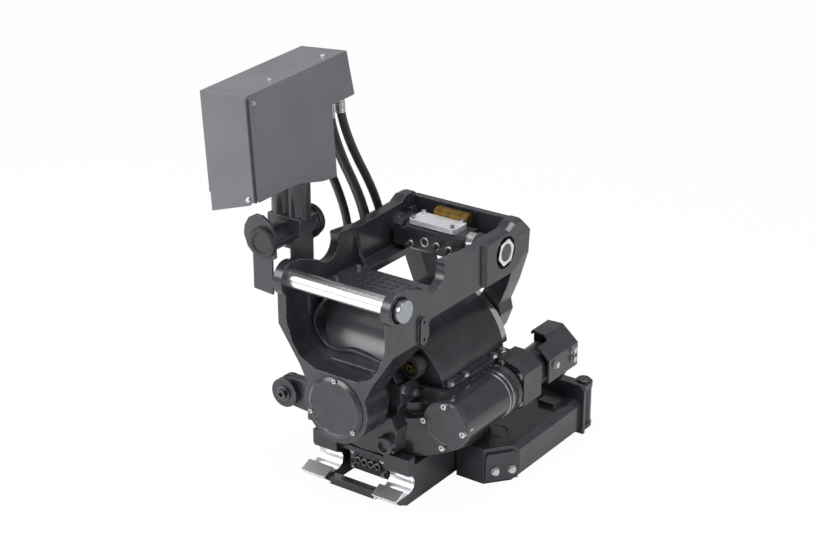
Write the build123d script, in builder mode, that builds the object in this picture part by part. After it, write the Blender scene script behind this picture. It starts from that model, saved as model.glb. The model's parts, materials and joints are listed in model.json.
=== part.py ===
from build123d import *
import os
from math import atan2, cos, degrees, hypot, radians, sin, sqrt, tan

# Excavator tilt rotator, in millimetres.
# The origin is the middle of the upper front pin, +X runs along that pin towards the worm gear side,
# +Y runs aft to the upper rear pin, and +Z is up.

# Interface sizes of the machine side: two pins between two side plates
PIN_D = 45
PIN_CENTRES = 430
INSIDE_WIDTH = 290
PLATE_T = 25
PIN_FIT = 0.05

# The two working axes: the tilt axis runs fore and aft, the rotation axis is vertical
TILT_Z = -290
ROT_Y = 285

# General clearances
SEAT = 0.3
RUN = 0.05
HOLE_GAP = 0.2

half_width = INSIDE_WIDTH / 2
plate_out = half_width + PLATE_T
pin_r = PIN_D / 2

os.makedirs("parts", exist_ok=True)
MIN_UP = (Align.CENTER, Align.CENTER, Align.MIN)
MAX_UP = (Align.CENTER, Align.CENTER, Align.MAX)


def front(y, x=0, z=0):
    """Plane that faces forward at y: its own x is X and its own y is Z."""
    return Plane(origin=(x, y, z), x_dir=(1, 0, 0), z_dir=(0, -1, 0))


def rear(y, x=0, z=0):
    """Plane that faces aft at y: its own x is -X and its own y is Z."""
    return Plane(origin=(x, y, z), x_dir=(-1, 0, 0), z_dir=(0, 1, 0))


def right(x, y=0, z=0):
    """Plane that faces +X at x: its own x is Y and its own y is Z."""
    return Plane(origin=(x, y, z), x_dir=(0, 1, 0), z_dir=(1, 0, 0))


def left(x, y=0, z=0):
    """Plane that faces -X at x: its own x is -Y and its own y is Z."""
    return Plane(origin=(x, y, z), x_dir=(0, -1, 0), z_dir=(-1, 0, 0))


def level(z, x=0, y=0):
    """Level plane at height z."""
    return Plane(origin=(x, y, z), x_dir=(1, 0, 0), z_dir=(0, 0, 1))


def spots(plane, points):
    """Places of the points (u, v) on a plane, as locations whose own z is the plane's normal."""
    return [plane.location * Location((u, v, 0)) for u, v in points]


def ring_points(radius, count, start=0):
    """Points spaced evenly on a circle, from an angle in degrees."""
    turn = [radians(start + 360 * i / count) for i in range(count)]
    return [(radius * cos(a), radius * sin(a)) for a in turn]


def mirrored(points):
    """Outline points for the right half, from top to bottom, closed by their mirror image."""
    return points + [(-u, v) for u, v in reversed(points)]


def save(name, part):
    """Label one finished piece and write it under its node name."""
    part.label = name
    export_step(part, f"parts/{name}.step")


def slab(plane, outline, thick):
    """Plate of a given outline (u, v) on a plane."""
    with BuildPart() as piece:
        with BuildSketch(plane):
            with BuildLine():
                Polyline(*outline, close=True)
            make_face()
        extrude(amount=thick)
    return piece.part


def block(x0, x1, y0, y1, z0, z1):
    """Square block between six faces."""
    with BuildPart() as piece:
        with Locations(((x0 + x1) / 2, (y0 + y1) / 2, (z0 + z1) / 2)):
            Box(x1 - x0, y1 - y0, z1 - z0)
    return piece.part


def bar(plane, radius, length, bore=0):
    """Round bar or tube that stands on a plane."""
    with BuildPart() as piece:
        with Locations(plane.location):
            Cylinder(radius, length, align=MIN_UP)
            if bore:
                Cylinder(bore, length, align=MIN_UP, mode=Mode.SUBTRACT)
    return piece.part


def turned(plane, profile):
    """Round piece turned from a profile of (radius, height) points about a plane's normal."""
    with BuildPart() as piece:
        with BuildSketch(Plane.XZ):
            with BuildLine():
                Polyline(*profile, close=True)
            make_face()
        revolve(axis=Axis.Z)
    return plane.location * piece.part


def holes(places, radius, depth):
    """Round holes that go down from their places."""
    with BuildPart() as piece:
        with Locations(*places):
            Cylinder(radius, depth + 1, align=MAX_UP)
    return piece.part


def copies(one, places):
    """The same small piece at several places."""
    with BuildPart() as piece:
        with Locations(*places):
            add(one)
    return piece.part


def cap_screws(places, size, grip):
    """Socket head screws: the head is 1.5 sizes wide and one size high, and the shank goes down its hole."""
    with BuildPart() as screw:
        Cylinder(0.75 * size, size, align=MIN_UP)
        with BuildSketch(level(size)):
            RegularPolygon(0.45 * size, 6)
        extrude(amount=-0.5 * size, mode=Mode.SUBTRACT)
        Cylinder(size / 2, grip, align=MAX_UP)
    return copies(screw.part, places)


def hex_bolts(places, size, grip):
    """Hexagon bolts with a washer each: the washer is 2.1 sizes wide, and the shank goes down its hole."""
    with BuildPart() as bolt:
        Cylinder(1.05 * size, 0.2 * size, align=MIN_UP)
        with BuildSketch(level(0.2 * size)):
            RegularPolygon(0.8 * size, 6, major_radius=False)
        extrude(amount=0.65 * size)
        Cylinder(size / 2, grip, align=MAX_UP)
    return copies(bolt.part, places)


# Sizes of the tilt frame, seen from the side (y, z)
BOSS_R = 44
TOP_Z = 50
BOTTOM_Z = -68
NOTCH_R = 43
NOTCH_AT = (139.5, 38.5)
FRONT_Y = -27
WEB_T = 85
LEG_Y = 482
LEG_T = 58
HUB_R = 93
SHAFT_R = 45
CAP_R = 28.5
CAP_RECESS_R = 33
PAD_T = 12
NUT_RECESS_R = 42
TROUGH_R = 115
TROUGH_T = 13
TROUGH_AT = (-10, -100)
FLANGE_W = 42
FLANGE_T = 18

# Outlines (y, z) of the side plate and of its raised rear pad
flare = [(470, BOTTOM_Z), (530, -31), (545, 12), (538, 36), (505, 66), (470, 66)]
side_outline = [(FRONT_Y, 0), (FRONT_Y, -112), (FRONT_Y + WEB_T, -112), (126, BOTTOM_Z)] + flare
side_outline += [(445, 52), (279, 47), (233, 53), (186, 58), NOTCH_AT, (110, 10), (30, 41), (0, 30)]
pad_outline = [(344, BOTTOM_Z)] + flare + [(445, 52), (344, 48.9)]

# Outlines (x, z) of the front web and of its opening, right half from top to bottom
web_half = [(plate_out, 0), (plate_out, -112), (108, -203), (84, -250)]
opening_half = [(half_width, 60), (half_width, -100), (128, -152), (105, -185), (62, -205)]
leg_half = [(183, 28), (180, -35), (156, -115), (132, -174), (138, -201), (120, -248), (84, -300)]
leg_open_half = [(half_width, 60), (122, -45), (95, -122), (64, -187)]

# Covers at both ends of the tilt shaft
COVER_R = 80
COVER_T = 9
REAR_COVER_R = 88
SCREW = 8
SCREW_ANGLES = (88, 200, 320)

# Plate with two holes on the right side plate, and the hose bulkhead outside the left side plate
LINK_AT = (87, -84)
LINK_SPAN = 44
LINK_R = 14
LINK_T = 8
BULK_T = 8
BULK_Z = -50
hose_ends = [(-212, 455), (-238, 418), (-264, 378), (-210, 395)]

# Perforated floor plate and the bracket that carries the valve box
FLOOR_X = 128
FLOOR_Y = (122, 240)
FLOOR_T = 5
BRACKET_BOLT = 12
BRACKET_T = 12


def screw_circle(radius):
    """Three screw points (u, v) at the angles seen on the covers."""
    return [(radius * cos(radians(a)), radius * sin(radians(a))) for a in SCREW_ANGLES]


def front_cover_places(height):
    """Places of the front cover's screws, at a height over the face of the hub."""
    return spots(front(FRONT_Y - height, 0, TILT_Z), screw_circle(COVER_R - 6))


def rear_cover_places(height):
    """Places of the rear cover's screws, at a height over the face of the hub."""
    return spots(rear(LEG_Y + LEG_T + height, 0, TILT_Z), screw_circle(REAR_COVER_R - 6))


def bracket_places(height):
    """Places of the carrier bracket's bolts on the outer face of the left side plate."""
    return spots(left(-plate_out - height), [(-58, 10), (-92, -15), (-58, -55)])


def floor_places(height):
    """Places of the floor plate's four screws on the frame's flanges."""
    x = FLOOR_X - 10
    rows = (FLOOR_Y[0] + 14, FLOOR_Y[1] - 14)
    return spots(level(BOTTOM_Z + FLANGE_T + height), [(u, v) for u in (-x, x) for v in rows])


def build_tilt_frame():
    """Casting: two side plates, a front web with a concave trough behind it, and a rear leg."""
    with BuildPart() as frame:
        # right side plate and its raised rear pad
        with BuildSketch(right(half_width)):
            with BuildLine():
                Polyline(*side_outline, close=True)
            make_face()
            Circle(BOSS_R)
            with Locations(NOTCH_AT):
                Circle(NOTCH_R, mode=Mode.SUBTRACT)
        extrude(amount=PLATE_T)
        with BuildSketch(right(plate_out)):
            with BuildLine():
                Polyline(*pad_outline, close=True)
            make_face()
        extrude(amount=PAD_T, taper=20)
        # inward flange along the lower edge, and an upright rib
        with BuildSketch(right(half_width - FLANGE_W)):
            with Locations((118, BOTTOM_Z)):
                Rectangle(382, FLANGE_T, align=(Align.MIN, Align.MIN))
        extrude(amount=FLANGE_W)
        with BuildSketch(front(262)):
            with BuildLine():
                Polyline((half_width, TOP_Z - 4), (half_width, BOTTOM_Z), (half_width - FLANGE_W, BOTTOM_Z),
                         (half_width - 12, -20), close=True)
            make_face()
        extrude(amount=12)
        mirror(about=Plane.YZ)
        # front web with the pin opening, and the front hub
        with BuildSketch(front(FRONT_Y)):
            with BuildLine():
                Polyline(*mirrored(web_half), close=True)
            make_face()
            with Locations((0, TILT_Z)):
                Circle(HUB_R)
            with BuildLine(mode=Mode.PRIVATE) as edge:
                Polyline(*mirrored(opening_half), close=True)
            with BuildSketch(mode=Mode.PRIVATE) as gap:
                add(make_face(edge.line))
                lower = gap.vertices().filter_by(lambda v: v.Y < -90)
                fillet(lower, 16)
            add(gap.sketch, mode=Mode.SUBTRACT)
        extrude(amount=-WEB_T)
        # concave trough behind the opening, an arc about a line beside the pin
        with BuildSketch(right(-half_width)):
            with BuildLine():
                inner = CenterArc(TROUGH_AT, TROUGH_R, -63, 93)
                outer = CenterArc(TROUGH_AT, TROUGH_R + TROUGH_T, -63, 93)
                Line(inner @ 0, outer @ 0)
                Line(inner @ 1, outer @ 1)
            make_face()
        extrude(amount=INSIDE_WIDTH)
        with BuildSketch(front(FRONT_Y)):
            with BuildLine():
                Polyline(web_half[1], web_half[2], (100, -235), (plate_out + 20, -235), close=True)
            make_face()
            mirror(about=Plane.YZ)
        extrude(amount=-WEB_T - 60, mode=Mode.SUBTRACT)
        # cheeks that close both ends of the trough down to the slanted edges of the web
        drum = bar(right(-plate_out, *TROUGH_AT), TROUGH_R + TROUGH_T, 2 * plate_out)
        for side in (1, -1):
            cheek = [(139, -50), (plate_out, -50), web_half[1], web_half[2], (100, -197), (139, -141)]
            add(slab(front(FRONT_Y + WEB_T), [(side * x, z) for x, z in cheek], -60) & drum)
        # rear leg with its own hub, and the cross plate
        with BuildSketch(front(LEG_Y)):
            with BuildLine():
                Polyline(*mirrored(leg_half), close=True)
            make_face()
            with Locations((0, TILT_Z)):
                Circle(HUB_R + 4)
            with BuildLine(mode=Mode.PRIVATE) as edge:
                Polyline(*mirrored(leg_open_half), close=True)
            with BuildSketch(mode=Mode.PRIVATE) as gap:
                add(make_face(edge.line))
                fillet(gap.vertices().filter_by(lambda v: v.Y < -30), 14)
            add(gap.sketch, mode=Mode.SUBTRACT)
        extrude(amount=-LEG_T)
        with Locations((0, 509, -40)):
            Box(INSIDE_WIDTH, 18, 98, align=(Align.CENTER, Align.CENTER, Align.MIN))
        # bulkhead shelf for the hoses on the left side, and the plate with two holes on the right side
        shelf = [(-plate_out + 2, 340), (-plate_out + 2, 478), (-236, 478), (-286, 410), (-286, 356), (-270, 340)]
        add(slab(level(BULK_Z), shelf, -BULK_T))
        add(slab(front(350), [(-plate_out + 2, BULK_Z - 2), (-plate_out + 2, -66), (-268, BULK_Z - 2)], -BULK_T))
        add(holes(spots(level(BULK_Z), hose_ends), 8.2, 12), mode=Mode.SUBTRACT)
        with BuildSketch(right(plate_out, *LINK_AT)):
            SlotCenterToCenter(LINK_SPAN, 2 * LINK_R, rotation=90)
        extrude(amount=LINK_T)
        for v in (-LINK_SPAN / 2, LINK_SPAN / 2):
            add(bar(right(plate_out, LINK_AT[0], LINK_AT[1] + v), 4.5, 20), mode=Mode.SUBTRACT)
        # bores for the two pins, the pin head, the nut and the tilt shaft
        with Locations((0, 0, 0), (0, PIN_CENTRES, 0)):
            Cylinder(pin_r + PIN_FIT, 2 * plate_out + 2 * PAD_T + 40, rotation=(0, 90, 0), mode=Mode.SUBTRACT)
        with Locations(right(plate_out).location):
            Cylinder(CAP_RECESS_R, 9, align=MAX_UP, mode=Mode.SUBTRACT)
        with Locations(right(plate_out + PAD_T, PIN_CENTRES).location):
            Cylinder(NUT_RECESS_R, PAD_T + 4, align=MAX_UP, mode=Mode.SUBTRACT)
        with Locations((0, FRONT_Y - 1, TILT_Z)):
            Cylinder(SHAFT_R + RUN, LEG_Y + LEG_T - FRONT_Y + 2, rotation=(90, 0, 0),
                     align=(Align.CENTER, Align.CENTER, Align.MAX), mode=Mode.SUBTRACT)
        # threaded holes for the covers, the carrier bracket and the floor plate
        add(holes(front_cover_places(0), SCREW / 2 + HOLE_GAP, 18), mode=Mode.SUBTRACT)
        add(holes(rear_cover_places(0), SCREW / 2 + HOLE_GAP, 18), mode=Mode.SUBTRACT)
        add(holes(bracket_places(0), BRACKET_BOLT / 2 + HOLE_GAP, 20), mode=Mode.SUBTRACT)
        add(holes(floor_places(0), SCREW / 2 + HOLE_GAP, 16), mode=Mode.SUBTRACT)
    return frame.part


tilt_frame = build_tilt_frame()
save("tilt_frame", tilt_frame)

# Pins, nut and small plates on the frame
REAR_HEAD_R = 34
REAR_HEAD_T = 12
NUT_FLATS = 62
NUT_T = 18


def build_front_pin():
    """Hardened front pin: a plain shank and a thick round head in the recess of the right plate."""
    with BuildPart() as pin:
        with Locations(right(-plate_out - 6).location):
            Cylinder(pin_r, 2 * plate_out + 6 - 9, align=MIN_UP)
        with Locations(right(plate_out - 9).location):
            Cylinder(CAP_R, 26, align=MIN_UP)
        chamfer(pin.faces().sort_by(Axis.X)[-1].edges(), 1.5)
        chamfer(pin.faces().sort_by(Axis.X)[0].edges(), 3)
    return pin.part


def build_rear_pin():
    """Rear pin: a flat head on the left side and a threaded end for the nut on the right."""
    left_face = -plate_out - PAD_T
    with BuildPart() as pin:
        with Locations(right(left_face - REAR_HEAD_T, PIN_CENTRES).location):
            Cylinder(REAR_HEAD_R, REAR_HEAD_T, align=MIN_UP)
        with Locations(right(left_face, PIN_CENTRES).location):
            Cylinder(pin_r, 2 * plate_out + 2 * PAD_T + 3, align=MIN_UP)
        chamfer(pin.faces().sort_by(Axis.X)[-1].edges(), 2)
        chamfer(pin.faces().sort_by(Axis.X)[0].edges(), 2)
    return pin.part


def build_rear_nut():
    """Hexagon nut on the rear pin, with its corners turned down on the outer side."""
    floor = plate_out - 4
    with BuildPart() as nut:
        with BuildSketch(right(floor, PIN_CENTRES)):
            RegularPolygon(NUT_FLATS / 2, 6, major_radius=False, rotation=12)
        extrude(amount=NUT_T)
        with BuildSketch(right(floor, PIN_CENTRES)):
            Circle(NUT_FLATS / 2 + 3.4)
        extrude(amount=NUT_T, mode=Mode.INTERSECT)
        with Locations(right(floor, PIN_CENTRES).location):
            Cylinder(pin_r + PIN_FIT, NUT_T, align=MIN_UP, mode=Mode.SUBTRACT)
    return nut.part


def build_keeper():
    """Flat collar round the left end of the front pin, held by two screws on its ear."""
    with BuildPart() as keeper:
        with BuildSketch(right(-plate_out - 6)):
            Circle(34)
            with Locations((0, -38)):
                Rectangle(24, 30)
            Circle(pin_r + PIN_FIT, mode=Mode.SUBTRACT)
        extrude(amount=6)
    return keeper.part


save("upper_front_pin", build_front_pin())
save("upper_rear_pin", build_rear_pin())
save("rear_pin_nut", build_rear_nut())
save("front_pin_keeper", build_keeper())

# Tilt shaft and its two round covers
def build_tilt_shaft():
    """Fixed shaft of the tilt actuator, held by the hub of the front web and the hub of the rear leg."""
    with BuildPart() as shaft:
        add(bar(rear(FRONT_Y, 0, TILT_Z), SHAFT_R, LEG_Y + LEG_T - FRONT_Y))
        chamfer(shaft.edges().filter_by(GeomType.CIRCLE), 1.5)
    return shaft.part


def build_cover(plane, radius, places):
    """Round cover with a wide bevel and a shallow recess, and pockets for its three screws."""
    profile = [(0, 0), (radius, 0), (radius, 3), (radius - 9, COVER_T), (radius - 12, COVER_T),
               (radius - 13, COVER_T - 2), (0, COVER_T - 2)]
    with BuildPart() as cover:
        add(turned(plane, profile))
        add(copies(bar(level(0), SCREW / 2 + HOLE_GAP, 20), places), mode=Mode.SUBTRACT)
        add(copies(bar(level(3), 0.75 * SCREW + 1, 20), places), mode=Mode.SUBTRACT)
    return cover.part


save("tilt_shaft", build_tilt_shaft())
save("front_tilt_cover", build_cover(front(FRONT_Y, 0, TILT_Z), COVER_R, front_cover_places(0)))
save("rear_tilt_cover", build_cover(rear(LEG_Y + LEG_T, 0, TILT_Z), REAR_COVER_R, rear_cover_places(0)))


# Perforated floor plate between the side plates
def build_floor_plate():
    """Plate with rows of long holes, screwed on the flanges of the frame."""
    seat = BOTTOM_Z + FLANGE_T
    middle_y = (FLOOR_Y[0] + FLOOR_Y[1]) / 2
    with BuildPart() as plate:
        add(block(-FLOOR_X, FLOOR_X, FLOOR_Y[0], FLOOR_Y[1], seat, seat + FLOOR_T))
        add(holes(floor_places(FLOOR_T), SCREW / 2 + HOLE_GAP, 20), mode=Mode.SUBTRACT)
        with BuildSketch(level(seat)):
            with Locations((0, middle_y)):
                with GridLocations(24, 22, 7, 4):
                    SlotOverall(17, 7)
        extrude(amount=FLOOR_T, mode=Mode.SUBTRACT)
    return plate.part


save("perforated_plate", build_floor_plate())

# Oil connection block on the rear pin
BLOCK_X = (17 - half_width, half_width - 68)
BLOCK_Y = (PIN_CENTRES - 40, PIN_CENTRES + 40)
BLOCK_Z = (-41, 28)
LID_X = (BLOCK_X[0] + 43, BLOCK_X[1] - 22)
LID_Y = (BLOCK_Y[0] + 2, BLOCK_Y[0] + 62)
LID_T = 13
BRASS_AT = (BLOCK_Y[0] + 80, BLOCK_Z[1] + 14)
BRASS_R = 17
BRASS_X = (LID_X[0] + 33, LID_X[1] - 7)
PORTS = [(-75, -23, 8), (-32, -10, 12), (4, -12, 8), (41, -14, 8)]
OPEN_PORT = 1
PORT_DEPTH = 12
STUB = 22
COLLAR_R = 30


def lid_places(height):
    """Places of the four lid screws over the top of the block."""
    x = [LID_X[0] + 12, LID_X[1] - 12]
    y = [LID_Y[0] + 8, LID_Y[1] - 8]
    return spots(level(BLOCK_Z[1] + height), [(u, v) for u in x for v in y])


def build_connection_block():
    """Block that sits on the rear pin, with four oil ports in its front face."""
    with BuildPart() as body:
        add(block(*BLOCK_X, *BLOCK_Y, *BLOCK_Z))
        chamfer(body.edges().filter_by(Axis.X), 8)
        add(bar(right(BLOCK_X[0], PIN_CENTRES), pin_r + SEAT, BLOCK_X[1] - BLOCK_X[0]), mode=Mode.SUBTRACT)
        add(block(BLOCK_X[0] + 24, BLOCK_X[0] + 36, *BLOCK_Y, 14, 30), mode=Mode.SUBTRACT)
        add(bar(right(BRASS_X[0] - 6, *BRASS_AT), BRASS_R + SEAT, BRASS_X[1] - BRASS_X[0] + 6), mode=Mode.SUBTRACT)
        for x, z, radius in PORTS:
            add(bar(rear(BLOCK_Y[0], x, z), radius, PORT_DEPTH), mode=Mode.SUBTRACT)
        add(holes(lid_places(0), SCREW / 2 + HOLE_GAP, 8), mode=Mode.SUBTRACT)
    return body.part


def build_port_sleeve():
    """Inserts of the oil ports: an open ring in one port, and a stub in each of the others."""
    with BuildPart() as sleeves:
        for i, (x, z, radius) in enumerate(PORTS):
            if i == OPEN_PORT:
                add(bar(rear(BLOCK_Y[0] - 3, x, z), radius, PORT_DEPTH + 3, radius - 3))
            else:
                tip, seat = radius - 0.5, radius + 1.5
                profile = [(0, 0), (tip - 1.5, 0), (tip, 1.5), (tip, STUB - 4), (seat, STUB - 4), (seat, STUB),
                           (radius, STUB), (radius, STUB + PORT_DEPTH), (0, STUB + PORT_DEPTH)]
                add(turned(rear(BLOCK_Y[0] - STUB, x, z), profile))
    return sleeves.part


def build_lid():
    """Flat lid with cut corners, in front of the brass cartridge."""
    with BuildPart() as lid:
        add(block(*LID_X, *LID_Y, BLOCK_Z[1], BLOCK_Z[1] + LID_T))
        chamfer(lid.edges().filter_by(Axis.Z), 6)
        add(holes(lid_places(LID_T), SCREW / 2 + HOLE_GAP, 20), mode=Mode.SUBTRACT)
    return lid.part


def build_brass_cap():
    """Round brass cartridge in its groove on the rear edge of the block, behind the lid."""
    with BuildPart() as cap:
        add(bar(right(BRASS_X[0], *BRASS_AT), BRASS_R, BRASS_X[1] - BRASS_X[0]))
        chamfer(cap.edges().filter_by(GeomType.CIRCLE), 4)
        add(bar(right(BRASS_X[0] - 5, *BRASS_AT), BRASS_R / 2, 5))
    return cap.part


def build_collars():
    """Two bright collars and two spacer sleeves that centre the block on the pin."""
    with BuildPart() as collars:
        for x, width in ((BLOCK_X[1], 12), (BLOCK_X[1] + 13, 11)):
            add(bar(right(x, PIN_CENTRES), COLLAR_R, width, pin_r + SEAT))
        add(bar(right(BLOCK_X[1] + 12, PIN_CENTRES), COLLAR_R - 4, 1, pin_r + SEAT))
    return collars.part


def build_spacers():
    """Dark spacer sleeves between the block and the two side plates."""
    ring_end = BLOCK_X[1] + 24
    with BuildPart() as spacers:
        add(bar(right(-half_width, PIN_CENTRES), 33, BLOCK_X[0] + half_width, pin_r + SEAT))
        add(bar(right(ring_end, PIN_CENTRES), 33, half_width - ring_end, pin_r + SEAT))
    return spacers.part


save("connection_block", build_connection_block())
save("oil_port_sleeves", build_port_sleeve())
save("connection_block_lid", build_lid())
save("brass_cartridge", build_brass_cap())
save("pin_collars", build_collars())
save("pin_spacers", build_spacers())

# Carrier of the valve box, on the outer side of the left side plate
CARRY_X = -200
CARRY_Z = 93
CARRY_R = 30
WALL = 3

# The valve box is drawn from its upper right front corner and stands turned and leaning on its carrier
BOX_CORNER = (-138, -153, 497)
BOX_TURN = Location(BOX_CORNER) * Rotation(0, 0, 4.2) * Rotation(0, -3.6, 0)
BOX_W = 130
BOX_FLOOR = -240
SHELF_Y = 332
SHELF_Z = -114
box_outline = [(0, 0), (409, 0), (431, SHELF_Z), (SHELF_Y, SHELF_Z), (SHELF_Y, -293), (269, -285), (180, -262),
               (124, -257), (14, -255), (0, -240)]


guard_sheet = [(-262, 100), (-260, 122), (-246, 146), (-226, 158), (-204, 158), (-182, 144), (-167, 112), (-167, 58),
               (-178.5, 48), (-178.5, -38), (-236, -34), (-236, 56), (-252, 72)]


def carrier_cut():
    """Room for the cross tube in the pieces that hold it."""
    return bar(rear(-60, CARRY_X, CARRY_Z), CARRY_R, 260)


def build_carrier_bracket():
    """Plate bolted on the side plate, with a saddle under the cross tube."""
    outline = [(40, 66), (40, -75), (75, -75), (112, -40), (112, 66)]
    with BuildPart() as bracket:
        add(slab(right(-plate_out - BRACKET_T), outline, BRACKET_T))
        add(block(-232, -plate_out, 40, 112, 55, 82))
        add(carrier_cut(), mode=Mode.SUBTRACT)
        add(holes(bracket_places(BRACKET_T), BRACKET_BOLT / 2 + HOLE_GAP, BRACKET_T + 1), mode=Mode.SUBTRACT)
    return bracket.part


def build_front_hub():
    """Round cap on the front end of the cross tube, with a raised ring and a plug into the tube."""
    r = CARRY_R + 8
    profile = [(0, -20), (17.9, -20), (17.9, 0), (r, 0), (r, 9), (r - 4, 13), (r - 12, 13), (r - 14, 10), (0, 10)]
    return turned(front(-35, CARRY_X, CARRY_Z), profile)


def build_rear_hub():
    """Stack of discs round the rear end of the cross tube."""
    r = CARRY_R
    profile = [(r, 0), (42, 0), (44, 4), (42, 8), (36, 8), (36, 12), (42, 12), (44, 16), (42, 20), (36, 20),
               (36, 24), (40, 24), (40, 32), (34, 38), (0, 38), (0, 32), (r, 32)]
    return turned(rear(118.3, CARRY_X, CARRY_Z), profile)


def on_box(places):
    """Places given in the box's own frame, put where the box stands."""
    return [BOX_TURN * place for place in places]


def post_places(height):
    """Places of the screws through the floor of the box into the flange of the post, in the box's frame."""
    return spots(level(BOX_FLOOR + height), [(x, y) for x in (-112, -18) for y in (168, 292)])


def build_post():
    """Welded carrier: cross tube, guard sheet, strap, block with two upright tubes, and a top flange."""
    with BuildPart() as post:
        add(bar(level(130, -219, 66), 30, 135))
        add(bar(level(130, -172, 66), 28, 135))
        add(BOX_TURN * block(-BOX_W - 60, 60, 100, 340, BOX_FLOOR - 4, BOX_FLOOR + 60), mode=Mode.SUBTRACT)
        add(BOX_TURN * block(-123, -7, 158, 302, BOX_FLOOR - 8, BOX_FLOOR))
        add(bar(rear(-35, CARRY_X, CARRY_Z), CARRY_R, 185))
        add(slab(front(-28), guard_sheet, 6))
        add(slab(front(118), [(-242, 128), (-172, 128), (-172, -18), (-188, -18), (-242, 62)], 6))
        add(block(-246, -146, 36, 100, 96, 136))
        add(bar(rear(-60, CARRY_X, CARRY_Z), 18, 260), mode=Mode.SUBTRACT)
        add(holes(on_box(post_places(0)), SCREW / 2 + HOLE_GAP, 10), mode=Mode.SUBTRACT)
    return post.part


save("carrier_bracket", build_carrier_bracket())
save("bracket_bolts", hex_bolts(bracket_places(BRACKET_T), BRACKET_BOLT, BRACKET_T + 16))
save("front_hub_cap", build_front_hub())
save("rear_hub", build_rear_hub())
save("valve_carrier", build_post())

# Valve box: right side panel, a wrapped cover, an inner floor sheet and the valve inside
FLOOR_SHEET = 6
hose_starts = [(-26, 403), (-50, 376), (-74, 350), (-24, 354)]
HOSE_D = 22
FITTING_R = 12
FITTING_H = 12


def box_screw_places():
    """Places of the screws on the side panel, the front and the top of the cover, in the box's frame."""
    return spots(right(0), [(20, -22)]) + spots(front(0), [(-20, -246)]) + spots(level(0), [(-28, 130), (-28, 349)])


def build_side_panel():
    """Flat right side panel with the stepped outline of the box."""
    with BuildPart() as panel:
        add(slab(right(-WALL), box_outline, WALL))
        add(copies(bar(level(-8), 3.2, 16), box_screw_places()), mode=Mode.SUBTRACT)
    return BOX_TURN * panel.part


def build_wrap():
    """Front, top, rear and left side of the cover, welded from sheet, with a slanted lower front edge."""
    x0, x1 = WALL - BOX_W, -WALL
    inner = 409 - WALL
    outline = [(0, -290), (0, 0), (409, 0), (431, SHELF_Z), (431 - WALL, SHELF_Z), (inner, -WALL), (WALL, -WALL),
               (WALL, -290)]
    with BuildPart() as wrap:
        add(slab(right(x0), outline, x1 - x0))
        add(slab(right(-BOX_W), box_outline, WALL))
        add(slab(front(-1), [(x0 - 1, -287), (-17, -260), (x1 - 6, -252), (x1 + 1, -252), (x1 + 1, -300),
                             (x0 - 1, -300)], -10), mode=Mode.SUBTRACT)
        add(block(x0, x0 + 14, WALL, 26, -228, -8))
        add(block(x1 - 14, x1, WALL, 26, -228, -8))
        add(block(-34, x1 - 4, WALL, 12, -252, BOX_FLOOR))
        add(copies(bar(level(-14), 3.2, 20), box_screw_places()), mode=Mode.SUBTRACT)
    return BOX_TURN * wrap.part


def build_floor_sheet():
    """Inner sheet of the box: floor, rear wall and the shelf with the four hose ports."""
    x0, x1 = WALL - BOX_W, -WALL
    with BuildPart() as sheet:
        add(block(x0, x1, WALL, SHELF_Y, BOX_FLOOR, BOX_FLOOR + FLOOR_SHEET))
        add(block(x0, x1, SHELF_Y - 6, SHELF_Y, BOX_FLOOR, SHELF_Z + 6))
        add(block(x0, x1, SHELF_Y - 6, 426.9, SHELF_Z, SHELF_Z + 6))
        add(holes(spots(level(SHELF_Z + 6), hose_starts), 8.2, 20), mode=Mode.SUBTRACT)
        add(holes(post_places(FLOOR_SHEET), SCREW / 2 + HOLE_GAP, 10), mode=Mode.SUBTRACT)
    return BOX_TURN * sheet.part


def build_valve():
    """Valve block on the floor of the box, with four sections and a round coil on each."""
    base = BOX_FLOOR + FLOOR_SHEET
    with BuildPart() as valve:
        add(block(-103, -27, 46, 272, base, base + 90))
        for y in (75, 131, 187, 243):
            add(block(-93, -37, y - 22, y + 22, base + 90, base + 120))
            add(bar(level(base + 120, -65, y), 17, 46))
        chamfer(valve.edges().filter_by(Axis.Z).sort_by(Axis.Z)[:4], 3)
    return BOX_TURN * valve.part


save("box_side_panel", build_side_panel())
save("box_cover", build_wrap())
save("box_floor_sheet", build_floor_sheet())
save("box_screws", hex_bolts(on_box(box_screw_places()), 6, 9))
frame_screws = front_cover_places(3) + rear_cover_places(3) + floor_places(FLOOR_T)
frame_screws += on_box(post_places(FLOOR_SHEET)) + lid_places(LID_T)
save("frame_cap_screws", cap_screws(frame_screws, SCREW, 18))
save("valve_block", build_valve())


# Hoses from the shelf of the box down the outer side of the left plate to the bulkhead shelf
def hose_route(i):
    """Route of hose i, from its fitting under the box down to its fitting on the bulkhead shelf."""
    x, y = hose_starts[i]
    start, below = [(BOX_TURN * Location((x, y, z))).position for z in (SHELF_Z - FITTING_H, SHELF_Z - 80)]
    x, y = hose_ends[i]
    return [start, below, Vector(x, y, 25), Vector(x, y, BULK_Z + FITTING_H)]


def bend_radii(points):
    """Bend radius at each inner point: as large as the shorter run beside it allows."""
    radii = []
    for a, b, c in zip(points, points[1:], points[2:]):
        turn = radians((b - a).get_angle(c - b))
        radii.append(0.45 * min((b - a).length, (c - b).length) / tan(turn / 2))
    return radii


def build_hose(i):
    """One hose: a round section swept along straight runs joined by tangent arcs."""
    points = hose_route(i)
    with BuildPart() as hose:
        with BuildLine() as path:
            FilletPolyline(*points, radius=bend_radii(points))
        with BuildSketch(Plane(origin=points[0], z_dir=points[1] - points[0])):
            Circle(HOSE_D / 2)
        sweep()
    length = sum(edge.length for edge in path.edges())
    area = 3.14159265 * HOSE_D ** 2 / 4
    print("hose", i + 1, "length", round(length), "radii", [round(r) for r in bend_radii(points)],
          "volume ratio", round(hose.part.volume / (area * length), 4))
    return hose.part


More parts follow.
